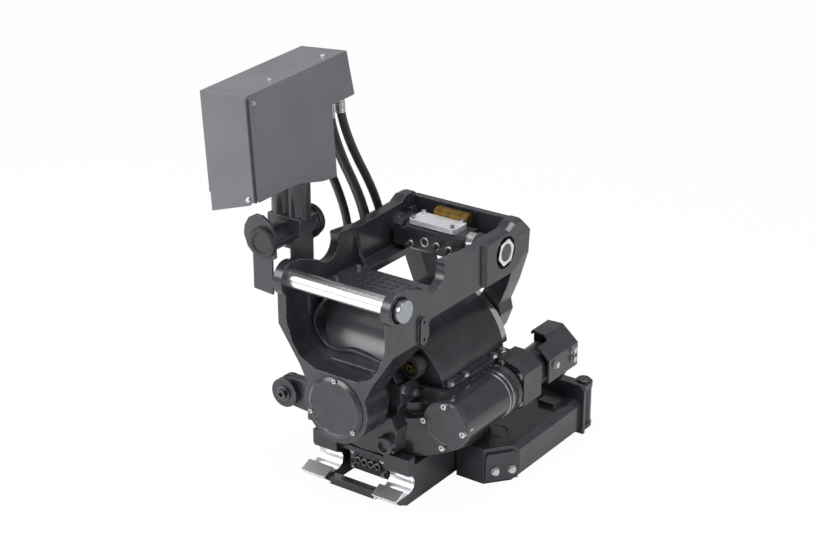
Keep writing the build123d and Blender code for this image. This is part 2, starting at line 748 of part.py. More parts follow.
def build_hose_fittings():
    """Hose fittings: screwed into the shelf of the box from below and into the bulkhead shelf from above."""
    with BuildPart() as fitting:
        Cylinder(FITTING_R, FITTING_H, align=MAX_UP)
        Cylinder(8, 20, align=MIN_UP)
        with Locations((0, 0, BULK_T)):
            Cylinder(13, 8, align=MIN_UP)
    turned_over = [Location((x, y, BULK_Z)) * Rotation(180, 0, 0) for x, y in hose_ends]
    return copies(fitting.part, on_box(spots(level(SHELF_Z), hose_starts)) + turned_over)


for i in range(4):
    save(f"hose_{i + 1}", build_hose(i))
save("hose_fittings", build_hose_fittings())

# Rotator housing, which tilts about the shaft
ACT_R = 100
NECK_R = 72
HOUSE_Y = (60.5, 480)
CASE_R = 205
CASE_Z = (-440, -345)
WORM_X = 215
WORM_Z = -338
WORM_R = 60
WORM_CAP_R = 64
WORM_FACE = 119
WORM_CAP_T = 16
WORM_FLANGE_Y = 387
SHOULDER_END = 455
WORM_FLANGE_T = 20
M10 = 10
M10_HOLE = M10 / 2 + HOLE_GAP
SHOULDER_X = 187
SHOULDER_Z = (-330, -277)
HOOD_R = 168
HOOD_T = 6
HOOD_Y = (140, 452)
LUG_AT = (-218, -344)
LUG_R = 38
SLEW_R = 150
SLEW_NECK_R = 130
RETAINER_R = 200
RETAINER_T = 12
MOTOR_R = 50
BLOCK_END = 470
MOTOR_END = 600
block_outline = [(190, -268), (214, -268), (248, -278), (271, -296), (271, -381), (258, -392), (190, -392)]
flange_bolts = [(258, -302), (258, -374), (203, -280), (203, -380)]
GUARD_Y = (500, 640)
guard_outline = [(178, -268), (184, -260), (228, -258), (275, -298), (275, -362)]
guard_bolts = [(530, -320), (616, -312), (616, -338)]


def worm_cap_places(height):
    """Places of the four screws of the worm gear's end cap."""
    plane = front(WORM_FACE + WORM_CAP_T - height, WORM_X, WORM_Z)
    return spots(plane, ring_points(WORM_CAP_R - 7.5, 4, -2.5))


def flange_places(height):
    """Places of the flange bolts on the rear face of the worm flange."""
    plane = front(WORM_FLANGE_Y - height)
    return spots(plane, flange_bolts)


def guard_places():
    """Places of the guard's bolts on its right side."""
    return spots(right(guard_outline[-1][0]), guard_bolts)


def hood_places(height):
    """Places of the hood bolts on its two side strips."""
    return spots(level(SHOULDER_Z[1] + height), [(x, y) for x in (-178, 178) for y in (200, 263, 391, 430)])


def retainer_places(height):
    """Places of the retainer's screws, seen from below."""
    plane = Plane(origin=(0, ROT_Y, CASE_Z[0] - height), x_dir=(1, 0, 0), z_dir=(0, 0, -1))
    return spots(plane, ring_points((RETAINER_R + SLEW_R) / 2 + 4, 12, 15))


def side_plate_places(height):
    """Places of the two bolts of the small side plate beside the actuator's neck."""
    return spots(right(104 + height), [(98, -262), (148, -290)])


def build_housing():
    """Casting round the tilt shaft: actuator barrel, gear case, worm gear tube and the left lug."""
    with BuildPart() as body:
        add(bar(rear(HOUSE_Y[0], 0, TILT_Z), NECK_R, 60))
        add(bar(rear(95, 0, TILT_Z), ACT_R, HOUSE_Y[1] - 95))
        add(bar(level(CASE_Z[0], 0, ROT_Y), CASE_R, CASE_Z[1] - CASE_Z[0]))
        add(bar(level(CASE_Z[1], 0, ROT_Y), CASE_R - 25, 30))
        add(block(-SHOULDER_X, SHOULDER_X, 165, SHOULDER_END, *SHOULDER_Z))
        # worm gear tube on the right, with a waist before its flange
        add(bar(rear(WORM_FACE + WORM_CAP_T, WORM_X, WORM_Z), WORM_R, WORM_FLANGE_Y - 30 - WORM_FACE - WORM_CAP_T))
        add(bar(rear(WORM_FLANGE_Y - 34, WORM_X, WORM_Z), WORM_R + 4, 14))
        add(bar(rear(WORM_FLANGE_Y - 20, WORM_X, WORM_Z), WORM_R - 28, 20))
        add(block(90, WORM_X, 165, WORM_FLANGE_Y - 34, WORM_Z - 52, WORM_Z + 20))
        # lower front block between the case and the neck
        add(slab(front(64), [(-100, -330), (96, -330), (112, -360), (104, -424), (-90, -424), (-112, -395)], -130))
        add(block(-165, -100, 72, 130, -413, -375))
        add(turned(front(64.5, 86, -400), [(0, 0), (24, 0), (24, 16), (22, 20), (15, 20), (15, 12), (0, 12)]))
        # left lug with a groove round its middle
        add(slab(front(62), [(-218, -307), (-60, -300), (-60, -392), (-218, -381)], -28))
        add(bar(rear(45, *LUG_AT), LUG_R, 15))
        add(bar(rear(60, *LUG_AT), LUG_R - 8, 16))
        add(bar(rear(76, *LUG_AT), LUG_R, 15))
        # pad of the small side plate
        add(block(60, 104, 88, 158, -303, -250))
        # bore of the tilt shaft, seat of the slewing ring and the screw holes
        add(bar(rear(HOUSE_Y[0] - 20, 0, TILT_Z), SHAFT_R + RUN, HOUSE_Y[1] + 20), mode=Mode.SUBTRACT)
        add(bar(level(CASE_Z[0], 0, ROT_Y), SLEW_R + SEAT, 31), mode=Mode.SUBTRACT)
        add(bar(rear(40, *LUG_AT), 11, 60), mode=Mode.SUBTRACT)
        add(bar(rear(HOUSE_Y[1], 0, TILT_Z), HUB_R + 8, 30), mode=Mode.SUBTRACT)
        add(holes(worm_cap_places(0), M10_HOLE, 22), mode=Mode.SUBTRACT)
        add(holes(hood_places(0), M10_HOLE, 20), mode=Mode.SUBTRACT)
        add(holes(retainer_places(0), M10_HOLE, 34), mode=Mode.SUBTRACT)
        add(holes(side_plate_places(0), M10_HOLE, 18), mode=Mode.SUBTRACT)
    return body.part


def build_hood():
    """Half round hood over the actuator, hollow inside, with a slanted front and a strip on each side."""
    y0, y1 = HOOD_Y
    slant = [(y0 - 1, -100), (y0 + 7, TILT_Z + HOOD_R), (184, SHOULDER_Z[1]), (184, -300), (y0 - 1, -300)]
    inner = [(u + 8, v) for u, v in slant]
    inner[0], inner[4] = (y0 - 1, -100), (y0 - 1, -300)
    with BuildPart() as hollow:
        add(bar(rear(y0, 0, TILT_Z), HOOD_R - HOOD_T, y1 - y0 - HOOD_T))
        add(slab(right(-200), inner, 400), mode=Mode.SUBTRACT)
    with BuildPart() as hood:
        add(bar(rear(y0, 0, TILT_Z), HOOD_R, y1 - y0))
        add(slab(right(-200), slant, 400), mode=Mode.SUBTRACT)
        add(hollow.part, mode=Mode.SUBTRACT)
        add(bar(rear(y0 - 5, 0, TILT_Z), ACT_R + SEAT, y1 - y0 + 10), mode=Mode.SUBTRACT)
        for x0, x1 in ((-SHOULDER_X, 4 - HOOD_R), (HOOD_R - 4, SHOULDER_X)):
            add(block(x0, x1, 184, y1, SHOULDER_Z[1], SHOULDER_Z[1] + 7))
        add(block(-200, 200, y0 - 5, y1 + 5, TILT_Z - 200, SHOULDER_Z[1]), mode=Mode.SUBTRACT)
        add(bar(rear(140, *PORT_CAP_AT), 22, 60), mode=Mode.SUBTRACT)
        add(holes(hood_places(7), M10_HOLE, 20), mode=Mode.SUBTRACT)
    return hood.part


def build_hood_rim():
    """Bright machined half ring behind the hood."""
    with BuildPart() as rim:
        add(bar(rear(HOOD_Y[1], 0, TILT_Z), HOOD_R - 3, 24, ACT_R))
        add(block(-200, 200, HOOD_Y[1], HOOD_Y[1] + 24, TILT_Z - 200, -262), mode=Mode.SUBTRACT)
    return rim.part


def build_worm_cap():
    """End cap of the worm gear, with a bevelled edge and a shallow recess, left bare."""
    r = WORM_CAP_R
    profile = [(0, 0), (r, 0), (r, 12), (r - 3, WORM_CAP_T), (r - 16, WORM_CAP_T), (r - 17, WORM_CAP_T - 1),
               (0, WORM_CAP_T - 1)]
    with BuildPart() as cap:
        add(turned(front(WORM_FACE + WORM_CAP_T, WORM_X, WORM_Z), profile))
        add(copies(bar(level(-2), M10_HOLE, 30), worm_cap_places(0)), mode=Mode.SUBTRACT)
    return cap.part


def build_worm_flange():
    """Flange between the worm gear tube and the motor."""
    with BuildPart() as flange:
        add(slab(front(WORM_FLANGE_Y), block_outline, -WORM_FLANGE_T))
        add(copies(bar(level(-30), M10_HOLE, 40), flange_places(0)), mode=Mode.SUBTRACT)
    return flange.part


def build_motor():
    """Hydraulic motor behind the flange: square valve block with a bulged top, then the round body."""
    r, start = MOTOR_R, WORM_FLANGE_Y + WORM_FLANGE_T
    with BuildPart() as motor:
        add(slab(front(start), block_outline, start - BLOCK_END))
        profile = [(0, 0), (r, 0), (r, 90), (r + 1, 94), (r + 1, MOTOR_END - BLOCK_END), (36, MOTOR_END - BLOCK_END + 8),
                   (36, GUARD_Y[1] - BLOCK_END - 10), (30, GUARD_Y[1] - BLOCK_END), (0, GUARD_Y[1] - BLOCK_END)]
        add(turned(rear(BLOCK_END, WORM_X, WORM_Z), profile))
        add(holes(flange_places(-WORM_FLANGE_T), M10_HOLE, 20), mode=Mode.SUBTRACT)
    return motor.part


def build_motor_guard():
    """Bent guard sheet over the motor, cut away beside the rear leg, with a rib round the motor."""
    cx, cz = WORM_X, WORM_Z
    inner = [(cx + (x - cx) * 0.9, cz + (z - cz) * 0.92) for x, z in guard_outline]
    with BuildPart() as guard:
        add(slab(front(GUARD_Y[0]), guard_outline + inner[::-1], GUARD_Y[0] - GUARD_Y[1]))
        add(slab(front(GUARD_Y[1] - 60), guard_outline + [(262, -386), (232, -392), (180, -350)], -6))
        add(slab(level(-300), [(150, GUARD_Y[0] - 1), (240, GUARD_Y[0] - 1), (240, 548), (178, 564), (150, 564)], 60),
            mode=Mode.SUBTRACT)
        add(bar(rear(GUARD_Y[0], WORM_X, WORM_Z), MOTOR_R + 1.1, 150), mode=Mode.SUBTRACT)
        add(copies(bar(level(-20), M10_HOLE, 40), guard_places()), mode=Mode.SUBTRACT)
    return guard.part


PORT_CAP_AT = (110, -214)


def build_port_cap():
    """Round cap with a ribbed rim in front of the hood."""
    with BuildPart() as cap:
        with BuildSketch(rear(122, *PORT_CAP_AT)):
            Circle(29)
            with Locations(*ring_points(30, 24)):
                Circle(1.8, mode=Mode.SUBTRACT)
        extrude(amount=26)
        chamfer(cap.faces().sort_by(Axis.Y)[0].outer_wire().edges(), 1)
        add(bar(rear(147, *PORT_CAP_AT), 21.8, 46))
        add(bar(rear(120, *PORT_CAP_AT), 20, 8), mode=Mode.SUBTRACT)
    return cap.part


def build_cap_insert():
    """Brass hexagon in the recess of the ribbed cap."""
    with BuildPart() as insert:
        with BuildSketch(rear(121, *PORT_CAP_AT)):
            RegularPolygon(12, 6)
            Circle(5, mode=Mode.SUBTRACT)
        extrude(amount=7)
    return insert.part


def build_side_plate():
    """Small plate with two bolts on the pad beside the neck."""
    with BuildPart() as plate:
        add(slab(right(104), [(86, -300), (86, -248), (130, -248), (162, -276), (162, -302)], 7))
        add(copies(bar(level(-10), M10_HOLE, 30), side_plate_places(0)), mode=Mode.SUBTRACT)
    return plate.part


def build_lug_plug():
    """Hexagon plug and washer in the front of the left lug."""
    with BuildPart() as plug:
        add(bar(rear(45, *LUG_AT), 10.8, 40))
        add(bar(rear(41, *LUG_AT), 20, 4))
        with BuildSketch(front(41, *LUG_AT)):
            RegularPolygon(14, 6)
            Circle(6, mode=Mode.SUBTRACT)
        extrude(amount=9)
    return plug.part


def build_retainer():
    """Ring under the gear case that holds the slewing ring, with sunk screw heads."""
    below = Plane(origin=(0, ROT_Y, CASE_Z[0]), x_dir=(1, 0, 0), z_dir=(0, 0, -1))
    with BuildPart() as ring:
        add(bar(below, RETAINER_R, RETAINER_T, SLEW_NECK_R + RUN))
        add(copies(bar(level(-2), M10_HOLE, 30), retainer_places(0)), mode=Mode.SUBTRACT)
        add(copies(bar(level(2), 0.75 * M10 + 0.5, 30), retainer_places(0)), mode=Mode.SUBTRACT)
    return ring.part


save("rotator_housing", build_housing())
save("actuator_hood", build_hood())
save("hood_rim", build_hood_rim())
save("worm_end_cap", build_worm_cap())
save("worm_flange", build_worm_flange())
save("hydraulic_motor", build_motor())
save("motor_guard", build_motor_guard())
save("ribbed_cap", build_port_cap())
save("cap_insert", build_cap_insert())
save("small_side_plate", build_side_plate())
save("lug_plug", build_lug_plug())
save("bearing_retainer", build_retainer())
long_bolts = hex_bolts(hood_places(7) + flange_places(0) + side_plate_places(7), M10, 20)
guard_set = hex_bolts(guard_places(), M10, 6)
with BuildPart() as housing_bolts:
    add(long_bolts)
    add(guard_set)
save("housing_hex_bolts", housing_bolts.part)
save("housing_cap_screws", cap_screws(worm_cap_places(WORM_CAP_T) + retainer_places(2), M10, 34))

# Slewing ring and quick coupler, which turn about the upright axis
COUPLER_TOP = (-467, -455)
COUPLER_BOTTOM = -552
COUPLER_X = 145
CHEEK_T = 25
CLAW_X = (72, 145)
CLAW_AT = (70, -500)
HOOK_AT = (500, -500)
JAW_R = 22.6
LOCK_R = 14
LOCK_X = 92
LOCK_Z = HOOK_AT[1] - JAW_R - LOCK_R - 0.4
LOCK_FIT = 0.05
ROD_R = 12
CYL_Z = -510
CYL_Y = (200, 300)
CYL_R = 28
PORT_Y = 104
COUPLINGS_X = (-30, -10, 10, 30)
COUPLINGS_Z = -498
COUPLING_R = 7
COUPLING_L = 16
cheek_outline = [(60, COUPLER_BOTTOM), (477, COUPLER_BOTTOM), (477, -500), (523, -500), (523, -540), (536, -540),
                 (548, -520), (548, COUPLER_TOP[0]), (84, COUPLER_TOP[0]), (84, -480), (60, -480)]
claw_outline = [(14, CLAW_AT[1] - JAW_R), (29, -537), (54, -548), (62, COUPLER_BOTTOM), (150, COUPLER_BOTTOM),
                (150, COUPLER_TOP[0]), (84, COUPLER_TOP[0]), (84, -470), (70, -472), (70, CLAW_AT[1])]


def build_slew_ring():
    """Slewing ring: a flange inside the gear case and a neck through the retainer."""
    base = CASE_Z[0] + SEAT
    with BuildPart() as ring:
        add(bar(level(COUPLER_TOP[1], 0, ROT_Y), SLEW_NECK_R, base - COUPLER_TOP[1] + 1))
        add(bar(level(base, 0, ROT_Y), SLEW_R, 30))
        add(bar(level(COUPLER_TOP[1], 0, ROT_Y), 60, 50), mode=Mode.SUBTRACT)
    return ring.part


def build_coupler_frame():
    """Frame of the quick coupler: top plate, two cheeks, two front claws, rear hooks and a guide block."""
    x = COUPLER_X
    with BuildPart() as frame:
        add(block(-x, x, 84, 548, *COUPLER_TOP))
        for sign in (-1, 1):
            inner = x - CHEEK_T if sign > 0 else -x
            add(slab(right(inner), cheek_outline, CHEEK_T))
            claw = CLAW_X[0] if sign > 0 else -CLAW_X[1]
            add(slab(right(claw), claw_outline, CLAW_X[1] - CLAW_X[0]))
            add(block(min(sign * 72, sign * x), max(sign * 72, sign * x), 66, 94, -470, -431))
        add(block(-x + CHEEK_T, x - CHEEK_T, 400, 470, -553, COUPLER_TOP[0]))
        add(block(-22, 22, 215, 285, CYL_Z + 10, COUPLER_TOP[0]))
        add(block(-CLAW_X[0], CLAW_X[0], 32, 54, -546, -525))
        add(block(x, x + 5, 290, 545, -550, -470))
        # room for the gear case, the two pins, the locking bars and the lock cylinder
        add(bar(level(COUPLER_TOP[1], 0, ROT_Y), CASE_R + 3, 60), mode=Mode.SUBTRACT)
        add(bar(right(-x - 1, *CLAW_AT), JAW_R, 2 * x + 2), mode=Mode.SUBTRACT)
        add(bar(right(-x - 1, *HOOK_AT), JAW_R, 2 * x + 2), mode=Mode.SUBTRACT)
        for sign in (-1, 1):
            add(bar(rear(390, sign * LOCK_X, LOCK_Z), LOCK_R + LOCK_FIT, 90), mode=Mode.SUBTRACT)
        add(bar(rear(CYL_Y[0] - 5, 0, CYL_Z), CYL_R, CYL_Y[1] - CYL_Y[0] + 10), mode=Mode.SUBTRACT)
        add(bar(level(COUPLER_TOP[0] - 1, 0, ROT_Y), 40, 20), mode=Mode.SUBTRACT)
    return frame.part


def build_lock_bars():
    """Two locking bars joined by a yoke, and the rod of the lock cylinder."""
    with BuildPart() as bars:
        for sign in (-1, 1):
            add(bar(rear(370, sign * LOCK_X, LOCK_Z), LOCK_R, 150))
        chamfer(bars.edges().filter_by(GeomType.CIRCLE).group_by(Axis.Y)[-1], 3)
        add(block(-112, 112, 368, 384, LOCK_Z - 13, LOCK_Z + 13))
        add(block(-20, 20, 368, 384, LOCK_Z - 13, CYL_Z + 16))
        add(bar(rear(242, 0, CYL_Z), ROD_R, 130))
    return bars.part


def build_lock_cylinder():
    """Barrel of the lock cylinder, under the top plate."""
    with BuildPart() as barrel:
        add(bar(rear(CYL_Y[0], 0, CYL_Z), CYL_R, CYL_Y[1] - CYL_Y[0]))
        add(bar(rear(CYL_Y[0] + 1, 0, CYL_Z), ROD_R + LOCK_FIT, 120), mode=Mode.SUBTRACT)
    return barrel.part


def port_plate_places(height):
    """Places of the four screws of the port block's rim plate."""
    return spots(front(PORT_Y - height, 0, -498), [(-46, -20), (46, -20), (-46, 20), (46, 20)])


def build_couplings():
    """Four couplings that stand out of the port block through the window of its rim plate."""
    with BuildPart() as couplings:
        for x in COUPLINGS_X:
            add(bar(rear(PORT_Y + 8 - COUPLING_L, x, COUPLINGS_Z), COUPLING_R + 2, COUPLING_L, COUPLING_R))
    return couplings.part


def build_port_block():
    """Oil port block between the claws, drilled behind each of the attachment's couplings."""
    with BuildPart() as body:
        add(block(-60, 60, PORT_Y + 8, PORT_Y + 58, -530, COUPLER_TOP[0]))
        for x in COUPLINGS_X:
            add(bar(rear(PORT_Y + 8, x, COUPLINGS_Z), COUPLING_R - 3, 20), mode=Mode.SUBTRACT)
        add(holes(port_plate_places(-8), SCREW / 2 + HOLE_GAP, 16), mode=Mode.SUBTRACT)
    return body.part


def build_port_plate():
    """Rim plate in front of the port block."""
    with BuildPart() as plate:
        add(block(-58, 58, PORT_Y, PORT_Y + 8, -528, -470))
        add(block(-40, 40, PORT_Y - 1, PORT_Y + 9, -508, -488), mode=Mode.SUBTRACT)
        add(copies(bar(level(-12), SCREW / 2 + HOLE_GAP, 20), port_plate_places(0)), mode=Mode.SUBTRACT)
    return plate.part


save("slew_ring", build_slew_ring())
save("coupler_frame", build_coupler_frame())
save("lock_bars", build_lock_bars())
save("lock_cylinder", build_lock_cylinder())
save("port_block", build_port_block())
save("port_couplings", build_couplings())
save("port_rim_plate", build_port_plate())
save("port_plate_screws", cap_screws(port_plate_places(0), SCREW, 20))

# Gripper cassette on the right side of the coupler
CAS_X = (150, 290)
CAS_Y = (270, 640)
CAS_Z = (-560, -463)
CAS_WALL = 8
END_T = 10
PLUG_AT = (204, 372)
PLUG_R = 33
HINGE_AT = (268, 690)
HINGE_R = 11
GRIP_Z = (-548, -446)
foot = [(CAS_X[0], CAS_Y[0]), (231, CAS_Y[0]), (CAS_X[1], 345), (CAS_X[1], CAS_Y[1]), (CAS_X[0], CAS_Y[1])]


def angled_face(shift):
    """Plane on the slanted front corner of the cassette, moved outwards by a shift."""
    a, b = Vector(foot[1][0], foot[1][1], -512), Vector(foot[2][0], foot[2][1], -512)
    along = (b - a).normalized()
    outward = along.cross(Vector(0, 0, 1))
    return Plane(origin=(a + b) * 0.5 + outward * shift, x_dir=along, z_dir=outward)


def cassette_bolt_places(height):
    """Places of the two bolts on the slanted front corner."""
    return spots(angled_face(height), [(-20, -12), (24, -12)])


def build_cassette():
    """Long closed box with bevelled long edges that holds the gripper's cylinder."""
    with BuildPart() as shell:
        add(slab(level(CAS_Z[0]), foot, CAS_Z[1] - CAS_Z[0]))
        long_edges = shell.edges().filter_by(Axis.Y).sort_by(Axis.X)[-2:]
        chamfer(long_edges, 14)
        add(bar(level(CAS_Z[1] - 3, *PLUG_AT), PLUG_R + SEAT, 10), mode=Mode.SUBTRACT)
        add(holes(cassette_bolt_places(0), M10_HOLE, 16), mode=Mode.SUBTRACT)
        add(block(209, 257, 560, 600, CAS_Z[1], CAS_Z[1] + 11))
    return shell.part


def build_corner_plate():
    """Cover plate on the slanted front corner of the cassette."""
    plane = angled_face(0)
    outline = [(-44, -38), (40, -38), (40, 26), (30, 36), (-38, 36), (-44, 28)]
    with BuildPart() as plate:
        add(slab(plane, outline, CAS_WALL))
        add(copies(bar(level(-12), M10_HOLE, 30), cassette_bolt_places(0)), mode=Mode.SUBTRACT)
    return plate.part


def build_plug():
    """Round service plug with a ring on the top of the cassette."""
    r = PLUG_R
    profile = [(0, 0), (r, 0), (r, 4), (r - 1, 5), (r - 6, 5), (r - 7, 3), (r - 9, 3), (r - 10, 5), (0, 5)]
    return turned(level(CAS_Z[1] - 3, *PLUG_AT), profile)


def build_end_plate():
    """Taller rear plate of the cassette, with the knuckles of the gripper's hinge."""
    x, y = HINGE_AT
    with BuildPart() as plate:
        add(slab(rear(CAS_Y[1]), [(-140, -560), (-300, -560), (-300, -436), (-286, -422), (-160, -422), (-140, -440)],
                 END_T))
        for z0, z1 in ((-560, GRIP_Z[0] - 0.3), (GRIP_Z[1] + 0.3, -432)):
            add(block(x - 24, x + 24, CAS_Y[1] + END_T, y, z0, z1))
            add(bar(level(z0, x, y), 24, z1 - z0))
        add(bar(level(-565, x, y), HINGE_R + RUN, 140), mode=Mode.SUBTRACT)
    return plate.part


def build_hinge_pin():
    """Upright pin of the gripper's hinge, with a round head."""
    with BuildPart() as pin:
        add(bar(level(-560, *HINGE_AT), HINGE_R, 130))
        add(bar(level(-432, *HINGE_AT), 19, 7))
        chamfer(pin.faces().sort_by(Axis.Z)[-1].edges(), 2)
    return pin.part


def build_gripper():
    """Gripper arm folded behind the cassette: two curved fingers on one hub, joined by a web."""
    x, y = HINGE_AT
    finger = [(x, y + 22), (x - 70, y + 24), (x - 130, y + 4), (x - 152, y - 30), (x - 140, y - 34),
              (x - 118, y - 12), (x - 66, y - 4), (x, y - 22)]
    with BuildPart() as arm:
        add(bar(level(GRIP_Z[0], x, y), 22, GRIP_Z[1] - GRIP_Z[0]))
        for z in (GRIP_Z[0], GRIP_Z[1] - 14, GRIP_Z[0] + 44):
            add(slab(level(z), finger, 14))
        web = [(x - 10, y + 8), (x - 66, y + 14), (x - 112, y), (x - 112, y - 8), (x - 66, y + 6), (x - 10, y)]
        add(slab(level(GRIP_Z[0]), web, GRIP_Z[1] - GRIP_Z[0]))
        add(bar(level(-565, x, y), HINGE_R + RUN, 140), mode=Mode.SUBTRACT)
    return arm.part


save("cassette_shell", build_cassette())
save("cassette_corner_plate", build_corner_plate())
save("cassette_bolts", hex_bolts(cassette_bolt_places(CAS_WALL), M10, 22))
save("cassette_plug", build_plug())
save("cassette_end_plate", build_end_plate())
save("gripper_pin", build_hinge_pin())
save("gripper_arm", build_gripper())
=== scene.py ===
# %% [markdown]
# # Dressing an excavator tilt rotator
# The CAD model gives every solid piece in its right place. Here each piece gets the finish of the
# real one, and the small shapes that CAD left out are worked out with numpy. First the model is
# loaded and its box is kept; the floor is later set under it.

# %% Load the frame
import bpy
import json
import math
import numpy as np
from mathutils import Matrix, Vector


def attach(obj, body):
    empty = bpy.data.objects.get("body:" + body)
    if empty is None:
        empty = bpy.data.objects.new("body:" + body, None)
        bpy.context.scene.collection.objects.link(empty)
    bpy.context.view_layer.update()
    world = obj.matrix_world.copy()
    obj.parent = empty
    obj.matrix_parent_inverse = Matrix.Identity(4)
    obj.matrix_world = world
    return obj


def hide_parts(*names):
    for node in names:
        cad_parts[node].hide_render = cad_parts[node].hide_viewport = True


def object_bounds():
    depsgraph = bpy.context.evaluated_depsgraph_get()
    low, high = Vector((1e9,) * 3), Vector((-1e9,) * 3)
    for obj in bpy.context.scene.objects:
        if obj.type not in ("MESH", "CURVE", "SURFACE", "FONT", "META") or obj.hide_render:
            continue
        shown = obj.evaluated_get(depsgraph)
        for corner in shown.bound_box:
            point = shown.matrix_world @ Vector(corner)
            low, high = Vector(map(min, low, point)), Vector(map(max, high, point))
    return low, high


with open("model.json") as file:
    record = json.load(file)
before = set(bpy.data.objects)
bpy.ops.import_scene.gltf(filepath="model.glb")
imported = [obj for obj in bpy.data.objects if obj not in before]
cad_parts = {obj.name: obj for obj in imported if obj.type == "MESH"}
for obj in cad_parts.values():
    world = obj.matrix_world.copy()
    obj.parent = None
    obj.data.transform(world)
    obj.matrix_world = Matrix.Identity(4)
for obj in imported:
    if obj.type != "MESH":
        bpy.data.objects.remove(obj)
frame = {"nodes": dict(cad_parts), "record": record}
nodes = frame["nodes"]
mounts = {mount["name"]: mount for mount in frame["record"]["mounts"]}
cad_box = [list(map(float, corner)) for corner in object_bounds()]
scene = bpy.context.scene
print("pieces:", len(nodes), "box:", cad_box)

# %% [markdown]
# ## The camera
# The photograph looks down at the front right corner. Its direction was found from the straight
# edges of the object, so the camera is placed by numbers: two angles in degrees, a place in metres
# and a lens in millimetres.

# %% Camera
AZIMUTH, ELEVATION = 35.287, 23.184
CAMERA_PLACE = (2.50032, -3.26185, 1.82255)
LENS, SENSOR_WIDTH = 84.72, 36
FARTHEST_SEEN = 100
camera_data = bpy.data.cameras.new("camera")
camera_data.lens = LENS
camera_data.sensor_width = SENSOR_WIDTH
camera_data.clip_end = FARTHEST_SEEN
camera = bpy.data.objects.new("camera", camera_data)
camera.location = CAMERA_PLACE
camera.rotation_euler = (math.radians(90 - ELEVATION), 0, math.radians(AZIMUTH))
scene.collection.objects.link(camera)
scene.camera = camera
print("camera at", tuple(round(v, 3) for v in camera.location))

# %% [markdown]
# ## The hoses
# Four oil hoses leave the shelf of the valve box and run down the outer side of the left plate to a
# small shelf there. A hose is stiff, so it runs in one slow curve. A NURBS spline through a few
# points bends like that by itself; straight runs with rounded corners would look like bent wire.

# %% Hoses
HOSE_RADIUS = 0.011
hose_points = {
    "hose_1": [(-0.1855, 0.2476, 0.36962), (-0.18125, 0.24791, 0.30175),
               (-0.212, 0.455, 0.025), (-0.212, 0.455, -0.038)],
    "hose_2": [(-0.20741, 0.21891, 0.36811), (-0.20316, 0.21923, 0.30024),
               (-0.238, 0.418, 0.025), (-0.238, 0.418, -0.038)],
    "hose_3": [(-0.2294, 0.19123, 0.3666), (-0.22514, 0.19154, 0.29874),
               (-0.264, 0.378, 0.025), (-0.264, 0.378, -0.038)],
    "hose_4": [(-0.17992, 0.19887, 0.36974), (-0.17567, 0.19919, 0.30188),
               (-0.21, 0.395, 0.025), (-0.21, 0.395, -0.038)],
}


def hose(name, points):
    """A smooth tube: the spline follows the points, and a circle is carried along it."""
    curve = bpy.data.curves.new(name, "CURVE")
    curve.dimensions = "3D"
    curve.bevel_depth = HOSE_RADIUS
    curve.bevel_resolution = 6
    curve.resolution_u = 24
    curve.use_fill_caps = True
    spline = curve.splines.new("NURBS")
    spline.points.add(len(points) - 1)
    for point, place in zip(spline.points, points):
        point.co = (*place, 1)
    spline.use_endpoint_u = True
    spline.order_u = 3
    piece = bpy.data.objects.new(name, curve)
    scene.collection.objects.link(piece)
    return piece


hoses = []
for node_name, points in hose_points.items():
    piece = hose("rubber_" + node_name, points)
    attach(piece, "machine_frame")
    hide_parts(node_name)
    hoses.append(piece)
print("hoses:", [piece.name for piece in hoses])

# %% [markdown]
# ## How a finish is made
# A finish is a small tree of nodes. One function turns the colours that people write, such as
# #27282c, to the linear numbers of a shader, one adds a node, and one starts a material and lets
# another function fill its tree. The tree reads the coordinates of the object, so a pattern stays
# on its piece when the piece moves.

# %% Colours, nodes and materials
def linear(code):
    """The colour of an sRGB hex code as linear red, green and blue."""
    parts = np.array([int(code[i:i + 2], 16) for i in (1, 3, 5)]) / 255
    low = parts / 12.92
    high = ((parts + 0.055) / 1.055) ** 2.4
    return (*np.where(parts <= 0.04045, low, high).tolist(), 1.0)


def add(tree, kind, inputs=(), **options):
    """Adds one node. An input is a number, a hex colour or the output of another node."""
    node = tree.nodes.new("ShaderNode" + kind)
    for option, value in options.items():
        setattr(node, option, value)
    for socket, value in dict(inputs).items():
        if isinstance(value, bpy.types.NodeSocket):
            tree.links.new(value, node.inputs[socket])
        else:
            node.inputs[socket].default_value = linear(value) if isinstance(value, str) else value
    return node


def material(name, surface, **look):
    """A new material: surface(tree, place, **look) fills its tree and gives the shader's output."""
    made = bpy.data.materials.new(name)
    made.use_nodes = True
    tree = made.node_tree
    tree.nodes.clear()
    place = add(tree, "TexCoord").outputs["Object"]
    add(tree, "OutputMaterial", {"Surface": surface(tree, place, **look)})
    return made


print("black written as #27282c is", [round(v, 4) for v in linear("#27282c")])

# %% [markdown]
# ## Patterns that finishes share
# Nothing real has one even colour. Four patterns come back in the finishes here: soft patches that
# drift between two values, a fine relief that bends the normal, marks that a tool leaves, and edges
# where the coat is thin and a painted highlight makes them lighter. Each takes its size in
# millimetres, so that it can be checked against the real surface.

# %% Patches, relief, tool marks and edges
MM = 0.001
COLOUR_BAND, GLOSS_BAND, SPECK_BAND = (0.35, 0.65), (0.3, 0.7), (0.42, 0.62)
FACE_COSINE, EDGE_COSINE = 0.985, 0.85
EDGE_SAMPLES = 6
MARK_DEPTH_MM = 0.2


def patches(tree, place, size_mm, detail, band=COLOUR_BAND, values=(0.0, 1.0)):
    """Soft random patches about size_mm across: the band of the noise is stretched to the values."""
    cloud = add(tree, "TexNoise", {"Vector": place, "Scale": 1 / (size_mm * MM), "Detail": detail})
    return add(tree, "MapRange", {"Value": cloud.outputs[0], "From Min": band[0], "From Max": band[1],
                                  "To Min": values[0], "To Max": values[1]}).outputs[0]


